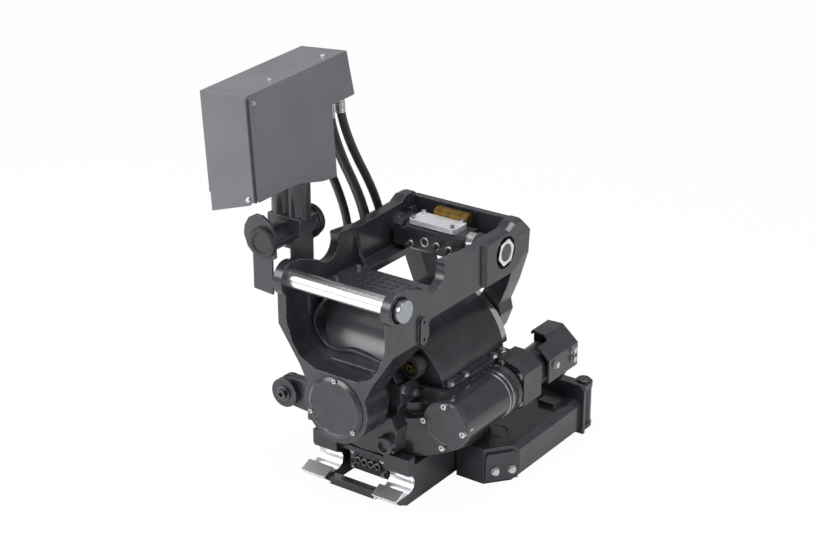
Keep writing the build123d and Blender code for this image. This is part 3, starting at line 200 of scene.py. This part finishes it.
def drift(tree, place, size_mm, detail, first, second):
    """A colour that drifts from one shade to another in soft patches about size_mm across."""
    share = patches(tree, place, size_mm, detail)
    return add(tree, "Mix", {0: share, 6: first, 7: second}, data_type="RGBA").outputs[2]


def relief(tree, place, normal, size_mm, detail, strength, depth_mm):
    """A fine relief over a normal: the new normal, and the noise that it comes from."""
    cloud = add(tree, "TexNoise", {"Vector": place, "Scale": 1 / (size_mm * MM), "Detail": detail})
    bump = add(tree, "Bump", {"Height": cloud.outputs[0], "Normal": normal,
                              "Strength": strength, "Distance": depth_mm * MM})
    return bump.outputs[0], cloud.outputs[0]


def tool_marks(tree, place, normal, squeeze, mark_mm, strength, gloss):
    """Noise squeezed along one axis bends the normal and moves the roughness between two values."""
    squeezed = add(tree, "Mapping", {"Vector": place, "Scale": squeeze}).outputs[0]
    marked, lines = relief(tree, squeezed, normal, mark_mm, 3, strength, MARK_DEPTH_MM)
    roughness = add(tree, "MapRange", {"Value": lines, "From Min": GLOSS_BAND[0],
                                       "From Max": GLOSS_BAND[1], "To Min": gloss[0],
                                       "To Max": gloss[1]})
    return marked, roughness.outputs[0]


def thin_coat_and_highlight_edges(tree, rounded, amount, colour, edge):
    """Mixes in a paler colour by amount where a rounded normal turns from the face's: a thin coat and
    a painted highlight on edges.
    """
    plain = add(tree, "NewGeometry").outputs["Normal"]
    turned = add(tree, "VectorMath", {0: rounded, 1: plain}, operation="DOT_PRODUCT")
    near = add(tree, "MapRange", {"Value": turned.outputs["Value"], "From Min": FACE_COSINE,
                                  "From Max": EDGE_COSINE}).outputs[0]
    share = add(tree, "Math", {0: near, 1: amount}, operation="MULTIPLY").outputs[0]
    return add(tree, "Mix", {0: share, 6: colour, 7: edge}, data_type="RGBA").outputs[2]


# The worn edges below are edges painted lighter: a painted highlight and a thinner coat.
print("patterns: patches, drift, relief, tool marks, worn edges")

# %% [markdown]
# ## Satin black paint
# The castings and plates wear a thick satin black paint. The sand of the mould leaves a grain of 1
# to 2 mm under it, which the coat rounds off, and the surface rolls in slow waves. On edges the
# colour is lighter, in specks: a thinner coat, and above all a painted highlight of edges catching
# light. Paint reflects like plastic, so its IOR is 1.5.

# %% Painted castings and plates
PLASTIC_IOR = 1.5
PAINT_DRIFT_MM, SPECK_MM, WAVE_MM, GLOSS_PATCH_MM = 60, 5, 25, 40
GRAIN_DEPTH_MM, WAVE_DEPTH_MM, WAVE_STRENGTH = 0.4, 1.0, 0.08


def black_paint(tree, place, dark, light, edge, grain_mm, grain, rough, edge_mm):
    """Satin paint: drifting colour, speckled edges made lighter (thin coat, painted highlight), grain
    and slow waves in the normal.
    """
    rounded = add(tree, "Bevel", {"Radius": edge_mm * MM}, samples=EDGE_SAMPLES).outputs[0]
    specks = patches(tree, place, SPECK_MM, 4, SPECK_BAND)
    colour = drift(tree, place, PAINT_DRIFT_MM, 4, dark, light)
    # Painted highlight: edges are mixed towards the pale edge colour, with a thinner coat there too.
    colour = thin_coat_and_highlight_edges(tree, rounded, specks, colour, edge)
    normal, _ = relief(tree, place, rounded, grain_mm, 2, grain, GRAIN_DEPTH_MM)
    normal, _ = relief(tree, place, normal, WAVE_MM, 2, WAVE_STRENGTH, WAVE_DEPTH_MM)
    roughness = patches(tree, place, GLOSS_PATCH_MM, 3, GLOSS_BAND, (rough - 0.02, rough + 0.03))
    return add(tree, "BsdfPrincipled", {"IOR": PLASTIC_IOR, "Base Color": colour,
                                        "Roughness": roughness, "Normal": normal}).outputs[0]


# The edge colours are much paler than the paint: a painted highlight on edges, besides a thinner
# coat.
paint_on_casting = material("satin_paint_on_casting", black_paint, dark="#27282c", light="#303136",
                            edge="#7c7e82", grain_mm=1.6, grain=0.16, rough=0.24, edge_mm=3.0)
paint_on_plate = material("satin_paint_on_plate", black_paint, dark="#2a2b30", light="#333439",
                          edge="#84868a", grain_mm=1.2, grain=0.08, rough=0.24, edge_mm=2.2)
print("paints:", paint_on_casting.name, paint_on_plate.name)

# %% [markdown]
# ## Powder coated sheet
# The valve box is folded sheet with a baked grey powder coat. The powder melts to a skin with a
# fine orange peel, a bit over a millimetre across, and the sheet stays flat.

# %% Powder coat
SHEET_DRIFT_MM, SHEET_GLOSS_MM = 150, 30


def powder_coat(tree, place, base, lighter, edge, edge_mm, paler, peel_mm, peel, gloss):
    """Baked powder: an even colour, folds painted paler as a highlight with a thinner coat, and a
    fine orange peel.
    """
    rounded = add(tree, "Bevel", {"Radius": edge_mm * MM}, samples=EDGE_SAMPLES).outputs[0]
    colour = drift(tree, place, SHEET_DRIFT_MM, 3, base, lighter)
    # Painted highlight: folds are mixed towards the pale edge colour, with a thinner coat there too.
    colour = thin_coat_and_highlight_edges(tree, rounded, paler, colour, edge)
    normal, _ = relief(tree, place, rounded, peel_mm, 1, peel, GRAIN_DEPTH_MM)
    roughness = patches(tree, place, SHEET_GLOSS_MM, 3, GLOSS_BAND, gloss)
    return add(tree, "BsdfPrincipled", {"IOR": PLASTIC_IOR, "Base Color": colour,
                                        "Roughness": roughness, "Normal": normal}).outputs[0]


# The edge colour is a painted highlight on the folds of the sheet, besides a thinner coat.
grey_powder = material("grey_powder_coat", powder_coat, base="#595a5f", lighter="#5f6066",
                       edge="#8b8c91", edge_mm=1.2, paler=0.5, peel_mm=1.4, peel=0.12,
                       gloss=(0.36, 0.44))
print("powder coat:", grey_powder.name)

# %% [markdown]
# ## Bare metals
# Ground steel pins, zinc plated screws, milled aluminium and dull brass are all metals: the colour
# is the colour of the reflection. Where a piece was ground or milled, its noise is squeezed along
# one axis, so the marks are narrow along that axis and long across it, like the rings that grinding
# leaves round a pin. Real marks are finer than this picture can show, so they are drawn as coarse
# as they need to be to catch light.

# %% Metals
EVEN, NARROW_ALONG_X, NARROW_ALONG_Y = (1, 1, 1), (12, 1, 1), (1, 6, 1)
METAL_EDGE_MM, METAL_DRIFT_MM = 0.6, 12


def bare_metal(tree, place, light, dark, rough, mark_mm, marks, squeeze=EVEN):
    """Worked metal: two close shades in patches, and tool marks in both gloss and normal."""
    rounded = add(tree, "Bevel", {"Radius": METAL_EDGE_MM * MM}, samples=EDGE_SAMPLES).outputs[0]
    colour = drift(tree, place, METAL_DRIFT_MM, 4, light, dark)
    normal, roughness = tool_marks(tree, place, rounded, squeeze, mark_mm, marks,
                                   (rough - 0.04, rough + 0.08))
    return add(tree, "BsdfPrincipled", {"Metallic": 1.0, "Base Color": colour,
                                        "Roughness": roughness, "Normal": normal}).outputs[0]


ground_steel = material("ground_steel", bare_metal, light="#e6e7e9", dark="#d6d7d9", rough=0.2,
                        mark_mm=1.5, marks=0.05, squeeze=NARROW_ALONG_X)
turned_steel = material("turned_steel", bare_metal, light="#a6a7a9", dark="#8e8f91", rough=0.3,
                        mark_mm=2, marks=0.1)
dark_steel = material("oiled_steel", bare_metal, light="#66676a", dark="#56575a", rough=0.4,
                      mark_mm=2, marks=0.1)
zinc_plate = material("zinc_plated_steel", bare_metal, light="#c9cacc", dark="#b0b1b3", rough=0.3,
                      mark_mm=1.2, marks=0.12)
milled_aluminium = material("milled_aluminium", bare_metal, light="#f2f3f6", dark="#e9eaee",
                            rough=0.5, mark_mm=2.5, marks=0.08, squeeze=NARROW_ALONG_Y)
dull_brass = material("dull_brass", bare_metal, light="#7b6233", dark="#5e4a26", rough=0.5,
                      mark_mm=2, marks=0.1)
print("metals:", ground_steel.name, turned_steel.name, zinc_plate.name)

# %% [markdown]
# ## Paint that stops at bare steel
# The claws are machined after painting, and the stubs of the oil ports are painted up to their
# seats. Both need paint and steel on one piece, so a mask chooses between two shaders: paint where
# it is nothing, steel where it is one.

# %% Paint and steel on one casting
MACHINED_EDGE_MM, PALER_EDGES = 1.5, 0.6
MACHINED_GRAIN_MM, MACHINED_GRAIN = 1.6, 0.2
CLAW_MARKS = (10, 1, 1)
CLAW_MARK_MM, CLAW_MARK_STRENGTH, CLAW_GLOSS = 1.5, 0.05, (0.3, 0.4)


def paint_and_steel(tree, place, bare, dark, light, rough):
    """Black paint where the mask bare is 0, and machined steel where it is 1."""
    rounded = add(tree, "Bevel", {"Radius": MACHINED_EDGE_MM * MM}, samples=EDGE_SAMPLES).outputs[0]
    colour = drift(tree, place, PAINT_DRIFT_MM, 4, dark, light)
    # Painted highlight: edges are mixed towards #5a5c60, with a thinner coat there too.
    colour = thin_coat_and_highlight_edges(tree, rounded, PALER_EDGES, colour, "#5a5c60")
    grained, _ = relief(tree, place, rounded, MACHINED_GRAIN_MM, 2, MACHINED_GRAIN, GRAIN_DEPTH_MM)
    paint = add(tree, "BsdfPrincipled", {"IOR": PLASTIC_IOR, "Roughness": rough,
                                         "Base Color": colour, "Normal": grained})
    marked, shine = tool_marks(tree, place, rounded, CLAW_MARKS, CLAW_MARK_MM, CLAW_MARK_STRENGTH,
                               CLAW_GLOSS)
    steel_colour = drift(tree, place, PAINT_DRIFT_MM, 4, "#eeeff1", "#dfe0e2")
    steel = add(tree, "BsdfPrincipled", {"Metallic": 1.0, "Base Color": steel_colour,
                                         "Roughness": shine, "Normal": marked})
    return add(tree, "MixShader", {0: bare, 1: paint.outputs[0], 2: steel.outputs[0]}).outputs[0]


print("paint and steel: one mask, two shaders")

# %% [markdown]
# ## Port stubs
# A stub is painted on its outside and bare where its seat goes into the block. The seat starts at
# one plane across the stub, so a step in y parts the two.

# %% Stubs
STUB_SEAT_Y = 0.3857


def port_stub(tree, place, dark, light, rough):
    """Steel where y is past STUB_SEAT_Y, and paint before it."""
    y = add(tree, "SeparateXYZ", {0: place}).outputs[1]
    bare = add(tree, "Math", {0: y, 1: STUB_SEAT_Y}, operation="GREATER_THAN").outputs[0]
    return paint_and_steel(tree, place, bare, dark, light, rough)


port_steel = material("phosphated_and_plated_steel", port_stub, dark="#222326", light="#2b2c30",
                      rough=0.3)
print("stubs:", port_steel.name)

# %% [markdown]
# ## Bare claws
# Steel shows where the attachment's pins slide into the claws. That is all that lies close to a
# pin's way. The way is a half line from the pin's axis out through the mouth of the slot, so the
# distance to it is d = sqrt(max(s, 0)^2 + c^2), with s measured along the slot away from the mouth
# and c across it. The front slot opens forward and the rear one down. The tips of the lower lips
# are bare too: they lie past a slanted plane. The middle of the casting stays painted.

# %% Claws
PLATES_FROM_X = 0.066
MACHINED_MM = 0.6
FAR = 10.0
TIP_NORMAL = (0, 0.693, 0.721)
TIP_Y, TIP_Z, TIP_DEPTH = 0.014, -0.5226, 0.0007
TIP_LIMIT = TIP_NORMAL[1] * TIP_Y + TIP_NORMAL[2] * TIP_Z + TIP_DEPTH


def slot_distance(tree, place, pin, least):
    """The length of max(P - pin, least) without x: least is 0 along the slot, -FAR across it."""
    step = place
    for operation, vector in (("SUBTRACT", pin), ("MULTIPLY", (0, 1, 1)), ("MAXIMUM", least)):
        step = add(tree, "VectorMath", {0: step, 1: vector}, operation=operation).outputs[0]
    return add(tree, "VectorMath", {0: step}, operation="LENGTH").outputs["Value"]


def claws(tree, place, dark, light, rough):
    """Bare where a point is near either pin's way or past the tip's plane, and |x| is large."""
    front, rear = mounts["attachment_front_jaw"], mounts["attachment_rear_jaw"]
    reach = front["dims"]["r_mm"] * MM + MACHINED_MM * MM
    tip = add(tree, "VectorMath", {0: place, 1: TIP_NORMAL}, operation="DOT_PRODUCT")
    near = [(slot_distance(tree, place, front["pos_m"], (0, 0, -FAR)), reach),
            (slot_distance(tree, place, rear["pos_m"], (0, -FAR, 0)), reach),
            (tip.outputs["Value"], TIP_LIMIT)]
    x = add(tree, "SeparateXYZ", {0: place}).outputs[0]
    side = add(tree, "Math", {0: x}, operation="ABSOLUTE").outputs[0]
    outer = add(tree, "Math", {0: side, 1: PLATES_FROM_X}, operation="GREATER_THAN").outputs[0]
    bare = 0.0
    for distance, limit in near:
        close = add(tree, "Math", {0: distance, 1: limit}, operation="LESS_THAN").outputs[0]
        bare = add(tree, "Math", {0: bare, 1: close}, operation="MAXIMUM").outputs[0]
    bare = add(tree, "Math", {0: bare, 1: outer}, operation="MULTIPLY").outputs[0]
    return paint_and_steel(tree, place, bare, dark, light, rough)


bare_claws = material("satin_paint_and_bare_claws", claws, dark="#25262a", light="#2e2f33",
                      rough=0.32)
print("pin ways:", mounts["attachment_front_jaw"]["pos_m"], mounts["attachment_rear_jaw"]["pos_m"])

# %% [markdown]
# ## The front pin
# The front pin is ground bright where it carries the digger's stick, and its head is a darker,
# bluish grey. The head starts at one plane across the pin, so a step in x parts the two.

# %% Pin steel
HEAD_FROM_X = 0.146
PIN_MARK_MM, PIN_MARK_STRENGTH, PIN_GLOSS = 1.5, 0.05, (0.22, 0.3)


def ground_pin(tree, place, light, dark, head_light, head_dark):
    """One metal whose colour changes at the plane x = HEAD_FROM_X, with grinding marks round it."""
    rounded = add(tree, "Bevel", {"Radius": METAL_EDGE_MM * MM}, samples=EDGE_SAMPLES).outputs[0]
    x = add(tree, "SeparateXYZ", {0: place}).outputs[0]
    head = add(tree, "Math", {0: x, 1: HEAD_FROM_X}, operation="GREATER_THAN").outputs[0]
    shaft_colour = drift(tree, place, METAL_DRIFT_MM, 4, light, dark)
    head_colour = drift(tree, place, METAL_DRIFT_MM, 4, head_light, head_dark)
    colour = add(tree, "Mix", {0: head, 6: shaft_colour, 7: head_colour}, data_type="RGBA")
    normal, roughness = tool_marks(tree, place, rounded, NARROW_ALONG_X, PIN_MARK_MM,
                                   PIN_MARK_STRENGTH, PIN_GLOSS)
    return add(tree, "BsdfPrincipled", {"Metallic": 1.0, "Base Color": colour.outputs[2],
                                        "Roughness": roughness, "Normal": normal}).outputs[0]


front_pin_steel = material("ground_steel_and_grey_head", ground_pin, light="#f0f1f3", dark="#e4e5e7",
                           head_light="#9fa1a9", head_dark="#94969e")
print("two finishes on the pin:", front_pin_steel.name)

# %% [markdown]
# ## Rubber and moulded plastic
# The hoses are covered in black rubber, which is dull and slightly uneven. The caps are moulded
# nylon: a little lighter, with the soft grain of the mould, about a millimetre across.

# %% Rubber and plastic
MOULDED_EDGE_MM, MOULDED_DRIFT_MM, MOULD_GLOSS_MM, MOULD_DEPTH_MM = 0.8, 22, 9, 0.3


def moulded(tree, place, dark, light, rough, grain_mm, grain):
    """Moulded rubber or nylon: drifting colour and gloss, and the grain of the mould."""
    rounded = add(tree, "Bevel", {"Radius": MOULDED_EDGE_MM * MM}, samples=EDGE_SAMPLES).outputs[0]
    colour = drift(tree, place, MOULDED_DRIFT_MM, 4, dark, light)
    normal, _ = relief(tree, place, rounded, grain_mm, 2, grain, MOULD_DEPTH_MM)
    roughness = patches(tree, place, MOULD_GLOSS_MM, 3, GLOSS_BAND, (rough - 0.05, rough + 0.06))
    return add(tree, "BsdfPrincipled", {"IOR": PLASTIC_IOR, "Base Color": colour,
                                        "Roughness": roughness, "Normal": normal}).outputs[0]


nylon = material("moulded_nylon", moulded, dark="#1d1d1f", light="#26272a", rough=0.42,
                 grain_mm=1.0, grain=0.2)
hose_rubber = material("hose_cover_rubber", moulded, dark="#1f2022", light="#2a2b2d", rough=0.5,
                       grain_mm=0.9, grain=0.35)
soft_rubber = material("moulded_rubber", moulded, dark="#191a1b", light="#222325", rough=0.48,
                       grain_mm=1.2, grain=0.25)
print("rubber and plastic:", nylon.name, hose_rubber.name, soft_rubber.name)

# %% [markdown]
# ## Thin paint on iron
# The motor and the flange of the worm are machined castings under a thinner coat, which is less
# glossy and follows a finer grain.

# %% Thin paint
# The edge colour is a painted highlight on edges, besides a thinner coat.
thin_paint = material("thin_paint_on_iron", black_paint, dark="#25262a", light="#2d2f33",
                      edge="#64666a", grain_mm=1.0, grain=0.18, rough=0.32, edge_mm=1.5)
print("thin paint:", thin_paint.name)

# %% [markdown]
# ## Each piece gets its finish
# A list says which pieces leave the default paint. Everything else is a painted casting or plate.

# %% Assign finishes
finishes = {
    front_pin_steel: ["upper_front_pin"],
    ground_steel: ["tilt_shaft", "lock_bars", "hood_rim", "pin_collars", "slew_ring",
                   "rear_pin_nut"],
    turned_steel: ["front_pin_keeper"],
    dark_steel: ["upper_rear_pin", "gripper_pin", "lug_plug"],
    bare_claws: ["coupler_frame"],
    port_steel: ["oil_port_sleeves"],
    zinc_plate: ["frame_cap_screws", "bracket_bolts", "box_screws", "housing_hex_bolts",
                 "housing_cap_screws", "port_plate_screws", "cassette_bolts", "port_couplings",
                 "hose_fittings"],
    milled_aluminium: ["connection_block_lid"],
    dull_brass: ["brass_cartridge", "cap_insert"],
    grey_powder: ["box_side_panel", "box_cover", "box_floor_sheet"],
    nylon: ["ribbed_cap", "front_hub_cap"],
    soft_rubber: ["rear_hub"],
    thin_paint: ["hydraulic_motor", "worm_flange", "valve_block", "connection_block"],
    paint_on_plate: ["perforated_plate", "motor_guard", "carrier_bracket", "cassette_shell",
                     "cassette_corner_plate", "cassette_end_plate", "small_side_plate",
                     "port_rim_plate", "gripper_arm", "valve_carrier"],
}
finish_of = {node_name: finish for finish, names in finishes.items() for node_name in names}
for node_name, node in nodes.items():
    node.data.materials.clear()
    node.data.materials.append(finish_of.get(node_name, paint_on_casting))
for piece in hoses:
    piece.data.materials.append(hose_rubber)
print("default paint on:", sorted(set(nodes) - set(finish_of)))

# %% [markdown]
# ## Surfaces from formulas
# A small shape is a grid of points: each row is a closed ring, and the rows follow a path. The ring
# is a superellipse, |u/a|^n + |v/b|^n = 1, which is round for n = 2 and nearly square for a large n.
# numpy fills the whole grid at once, and the two end rings are closed by flat caps.

# %% Rings along a path
def unit_ring(power, count):
    """Points (u, v) of a superellipse: u = sgn(cos t)|cos t|^(2/n), v = sgn(sin t)|sin t|^(2/n)."""
    t = np.linspace(0, 2 * math.pi, count, endpoint=False)
    c, s = np.cos(t), np.sin(t)
    return np.sign(c) * np.abs(c) ** (2 / power), np.sign(s) * np.abs(s) ** (2 / power)


def swept(path, up, a, b, power, count):
    """P(s, t) = path(s) + a(s) u(t) side(s) + b(s) v(t) over(s).

    The unit vectors side and over lie across the path, and over leans towards the direction up.
    """
    path = np.asarray(path, dtype=float)
    along = np.gradient(path, axis=0)
    along /= np.linalg.norm(along, axis=1, keepdims=True)
    side = np.cross(along, np.asarray(up, dtype=float))
    side /= np.linalg.norm(side, axis=1, keepdims=True)
    over = np.cross(side, along)
    u, v = unit_ring(power, count)
    a, b = np.broadcast_to(a, len(path)), np.broadcast_to(b, len(path))
    return (path[:, None] + side[:, None] * (a[:, None] * u)[..., None]
            + over[:, None] * (b[:, None] * v)[..., None])


print("a ring for n = 4 reaches", round(float(np.hypot(*unit_ring(4, 8))[1]), 3), "at 45 degrees")

# %% [markdown]
# ## From grids to a piece
# Four neighbours in a grid make a face. Whether the faces look out or in follows from the volume
# that they enclose: it is negative when they look in, and then the grid is turned round.

# %% Grid meshes
def grid_piece(name, grids, body, finish):
    """One object from several grids; a grid whose signed volume is negative is turned round."""
    points, faces, offset = [], [], 0
    for grid in grids:
        rows, count, _ = grid.shape
        flat = grid.reshape(-1, 3)
        a = np.arange(rows - 1)[:, None] * count + np.arange(count)[None, :]
        b = np.arange(rows - 1)[:, None] * count + (np.arange(count)[None, :] + 1) % count
        quads = np.stack([a, b, b + count, a + count], -1).reshape(-1, 4)
        corner = flat[quads]
        centre = flat.mean(axis=0)
        volume = np.einsum("ij,ij->i", corner[:, 0] - centre,
                           np.cross(corner[:, 1] - centre, corner[:, 2] - centre)).sum()
        first, last = np.arange(count)[::-1], np.arange(count) + (rows - 1) * count
        if volume < 0:
            quads, first, last = quads[:, ::-1], first[::-1], last[::-1]
        points.append(flat)
        faces += (quads + offset).tolist() + [(first + offset).tolist(), (last + offset).tolist()]
        offset += len(flat)
    mesh = bpy.data.meshes.new(name)
    mesh.from_pydata(np.concatenate(points).tolist(), [], faces)
    smooth = np.array([len(face) == 4 for face in faces])
    mesh.polygons.foreach_set("use_smooth", smooth)
    mesh.materials.append(finish)
    mesh.update()
    piece = bpy.data.objects.new(name, mesh)
    scene.collection.objects.link(piece)
    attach(piece, body)
    print(name, "faces:", len(faces))
    return piece


# %% [markdown]
# ## Crimped ferrules
# Where a hose meets its fitting, a steel ferrule is crimped over it. The ridges are a wave along its
# length: r(s) = r0 + h cos(2 pi s / p), and the end that faces the hose is rounded down to it.

# %% Ferrules
FERRULE, RIDGE, PITCH = 0.028, 0.0005, 0.0045
CRIMP_RADIUS, MOUTH_RADIUS, ROUNDING = 0.0126, 0.0112, 0.003
START = 0.0002
s = np.linspace(START, FERRULE, 60)
radius = CRIMP_RADIUS + RIDGE * np.cos(2 * math.pi * s / PITCH)
left = np.clip((FERRULE - s) / ROUNDING, 0, 1)
radius = MOUTH_RADIUS + (radius - MOUTH_RADIUS) * np.sqrt(1 - (1 - left) ** 2)
grids = []
for points in hose_points.values():
    for end, inward in ((points[0], points[1]), (points[3], points[2])):
        end, way = np.array(end), np.array(inward) - np.array(end)
        path = end + s[:, None] * way / np.linalg.norm(way)
        grids.append(swept(path, (0, 1, 0.2), radius, radius, power=2, count=32))
grid_piece("hose_ferrules", grids, "machine_frame", zinc_plate)

# %% [markdown]
# ## Rim of the front pocket
# The trough behind the front pin has a raised wall round its mouth. Its front edge is a bent line,
# rounded at each corner, and its depth reaches back to the concave surface of the trough, whose
# place is the circle (y - y0)^2 + (z - z0)^2 = R^2.

# %% Pocket rim
TROUGH_Y, TROUGH_Z, TROUGH_RADIUS = -0.010, -0.100, 0.115
RIM_FRONT_Y, RIM_WALL, RIM_SUNK = 0.0585, 0.0042, 0.002
RIM_DEPTH_LIMITS = (0.004, 0.06)
rim_corners = [(-0.093, -0.059), (-0.118, -0.095), (-0.133, -0.129), (-0.122, -0.158),
               (-0.103, -0.180), (-0.088, -0.187), (-0.058, -0.189), (-0.020, -0.177),
               (0.030, -0.181), (0.062, -0.187), (0.098, -0.188)]


def rounded_path(corners, step=0.002, turns=60):
    """Even points along a bent line; averaging neighbours many times rounds its corners."""
    corners = np.asarray(corners, dtype=float)
    spans = np.linalg.norm(np.diff(corners, axis=0), axis=1)
    length = np.concatenate([[0], np.cumsum(spans)])
    s = np.arange(0, length[-1], step)
    path = np.stack([np.interp(s, length, corners[:, k]) for k in range(corners.shape[1])], -1)
    for _ in range(turns):
        path[1:-1] = (path[:-2] + 2 * path[1:-1] + path[2:]) / 4
    return path


rim_line = rounded_path(rim_corners)
from_centre = np.clip(TROUGH_RADIUS ** 2 - (rim_line[:, 1] - TROUGH_Z) ** 2, 0, None)
trough_y = TROUGH_Y + np.sqrt(from_centre)
depth = np.clip(trough_y + RIM_SUNK - RIM_FRONT_Y, *RIM_DEPTH_LIMITS)
path = np.stack([rim_line[:, 0], RIM_FRONT_Y + depth / 2, rim_line[:, 1]], -1)
rim_grid = swept(path, (0, 1, 0), RIM_WALL, depth / 2, power=7, count=48)
grid_piece("pocket_rim", [rim_grid], "machine_frame", paint_on_casting)

# %% [markdown]
# ## Edge trim of the valve box
# A black rubber trim closes the seam between the front of the cover and the side panel. The box
# stands turned, so its own directions are worked out first from its two angles.

# %% Edge trim
BOX_TURN, BOX_LEAN = math.radians(4.2), math.radians(-3.6)
SEAM_TOP = np.array([-0.138, -0.153, 0.497])
SEAM_FROM, SEAM_TO = -0.006, -0.252
TRIM_RADIUS, TRIM_INSET = 0.0036, 0.0022
across = np.array([math.cos(BOX_TURN) * math.cos(BOX_LEAN),
                   math.sin(BOX_TURN) * math.cos(BOX_LEAN), -math.sin(BOX_LEAN)])
back = np.array([-math.sin(BOX_TURN), math.cos(BOX_TURN), 0.0])
upright = np.cross(across, back)
drop = np.linspace(SEAM_FROM, SEAM_TO, 40)
path = SEAM_TOP + drop[:, None] * upright - TRIM_INSET * across + TRIM_INSET * back
trim_grid = swept(path, back, TRIM_RADIUS, TRIM_RADIUS, power=3, count=28)
grid_piece("edge_trim", [trim_grid], "machine_frame", soft_rubber)

# %% [markdown]
# ## Rings on the worm gear's tube
# Two raised rings stand near the rear end of the tube. A ring is a small circle carried round the
# tube: its path is (x0 + R cos t, y, z0 + R sin t).

# %% Tube rings
TUBE_X, TUBE_Z, RING_RADIUS = 0.215, -0.338, 0.0602
RING_THICK, RING_PLACES_Y = 0.0022, (0.318, 0.334)
t = np.linspace(0, 2 * math.pi, 97)
grids = []
for y in RING_PLACES_Y:
    ring = np.stack([TUBE_X + RING_RADIUS * np.cos(t), np.full(t.shape, y),
                     TUBE_Z + RING_RADIUS * np.sin(t)], -1)
    grids.append(swept(ring, (0, 1, 0), RING_THICK, RING_THICK, power=2.5, count=16))
grid_piece("tube_rings", grids, "tilting_housing", turned_steel)

# %% [markdown]
# ## Studio floor
# The object stands on a pale floor in a white studio. The floor keeps the shadow; its white comes
# from the camera ray, so that the object isn't lit more to get it.

# %% Floor
FLOOR_HALF, FLOOR_GAP = 30.0, 0.001
FLOOR_GLOW = 0.96


def studio_paper(tree, place, colour):
    """Diffuse paper that the camera sees mostly as plain white."""
    paper = add(tree, "BsdfDiffuse", {"Color": colour})
    glow = add(tree, "Emission", {"Color": (1, 1, 1, 1), "Strength": 1.0})
    ray = add(tree, "LightPath").outputs["Is Camera Ray"]
    share = add(tree, "Math", {0: ray, 1: FLOOR_GLOW}, operation="MULTIPLY").outputs[0]
    return add(tree, "MixShader", {0: share, 1: paper.outputs[0], 2: glow.outputs[0]}).outputs[0]


floor_z = cad_box[0][2] - FLOOR_GAP
floor_mesh = bpy.data.meshes.new("floor")
floor_mesh.from_pydata([(x * FLOOR_HALF, y * FLOOR_HALF, floor_z)
                        for x, y in ((-1, -1), (1, -1), (1, 1), (-1, 1))], [], [(0, 1, 2, 3)])
floor_mesh.materials.append(material("studio_paper", studio_paper, colour="#e9e9e9"))
floor = bpy.data.objects.new("floor", floor_mesh)
scene.collection.objects.link(floor)
print("floor at", round(floor_z, 4))

# %% [markdown]
# ## Studio light
# The world looks white to the camera and lights the object only softly. Four square lamps do the
# rest: a broad one above, one from the front, one from the left that draws the light band in the
# trough, and a weak one from the right.

# %% Light
SKY_LIGHT = 0.4
LAMPS_LOOK_AT = (0, 0.2, 0)
lamps = {
    "top_box": {"place": (0.2, 0.0, 3.2), "size": 2.0, "power": 95},
    "front_box": {"place": (-0.8, -3.2, 1.7), "size": 1.6, "power": 70},
    "left_box": {"place": (-2.3, -2.3, 1.55), "size": 1.8, "power": 70},
    "right_box": {"place": (3.2, 0.6, 1.2), "size": 1.4, "power": 34},
}

world = bpy.data.worlds.new("studio")
scene.world = world
world.use_nodes = True
tree = world.node_tree
tree.nodes.clear()
rays = add(tree, "LightPath").outputs
seen = add(tree, "Math", {0: rays["Is Camera Ray"], 1: rays["Is Transmission Ray"]},
           operation="MAXIMUM").outputs[0]
strength = add(tree, "MapRange", {"Value": seen, "To Min": SKY_LIGHT, "To Max": 1.0}).outputs[0]
sky = add(tree, "Background", {"Color": (1, 1, 1, 1), "Strength": strength})
add(tree, "OutputWorld", {"Surface": sky.outputs[0]})

for name, lamp in lamps.items():
    light = bpy.data.lights.new(name, "AREA")
    light.size = lamp["size"]
    light.energy = lamp["power"]
    holder = bpy.data.objects.new(name, light)
    holder.location = lamp["place"]
    way = Vector(LAMPS_LOOK_AT) - Vector(lamp["place"])
    holder.rotation_euler = way.to_track_quat("-Z", "Y").to_euler()
    scene.collection.objects.link(holder)
scene.view_settings.view_transform = "Standard"
print("lamps:", list(lamps))
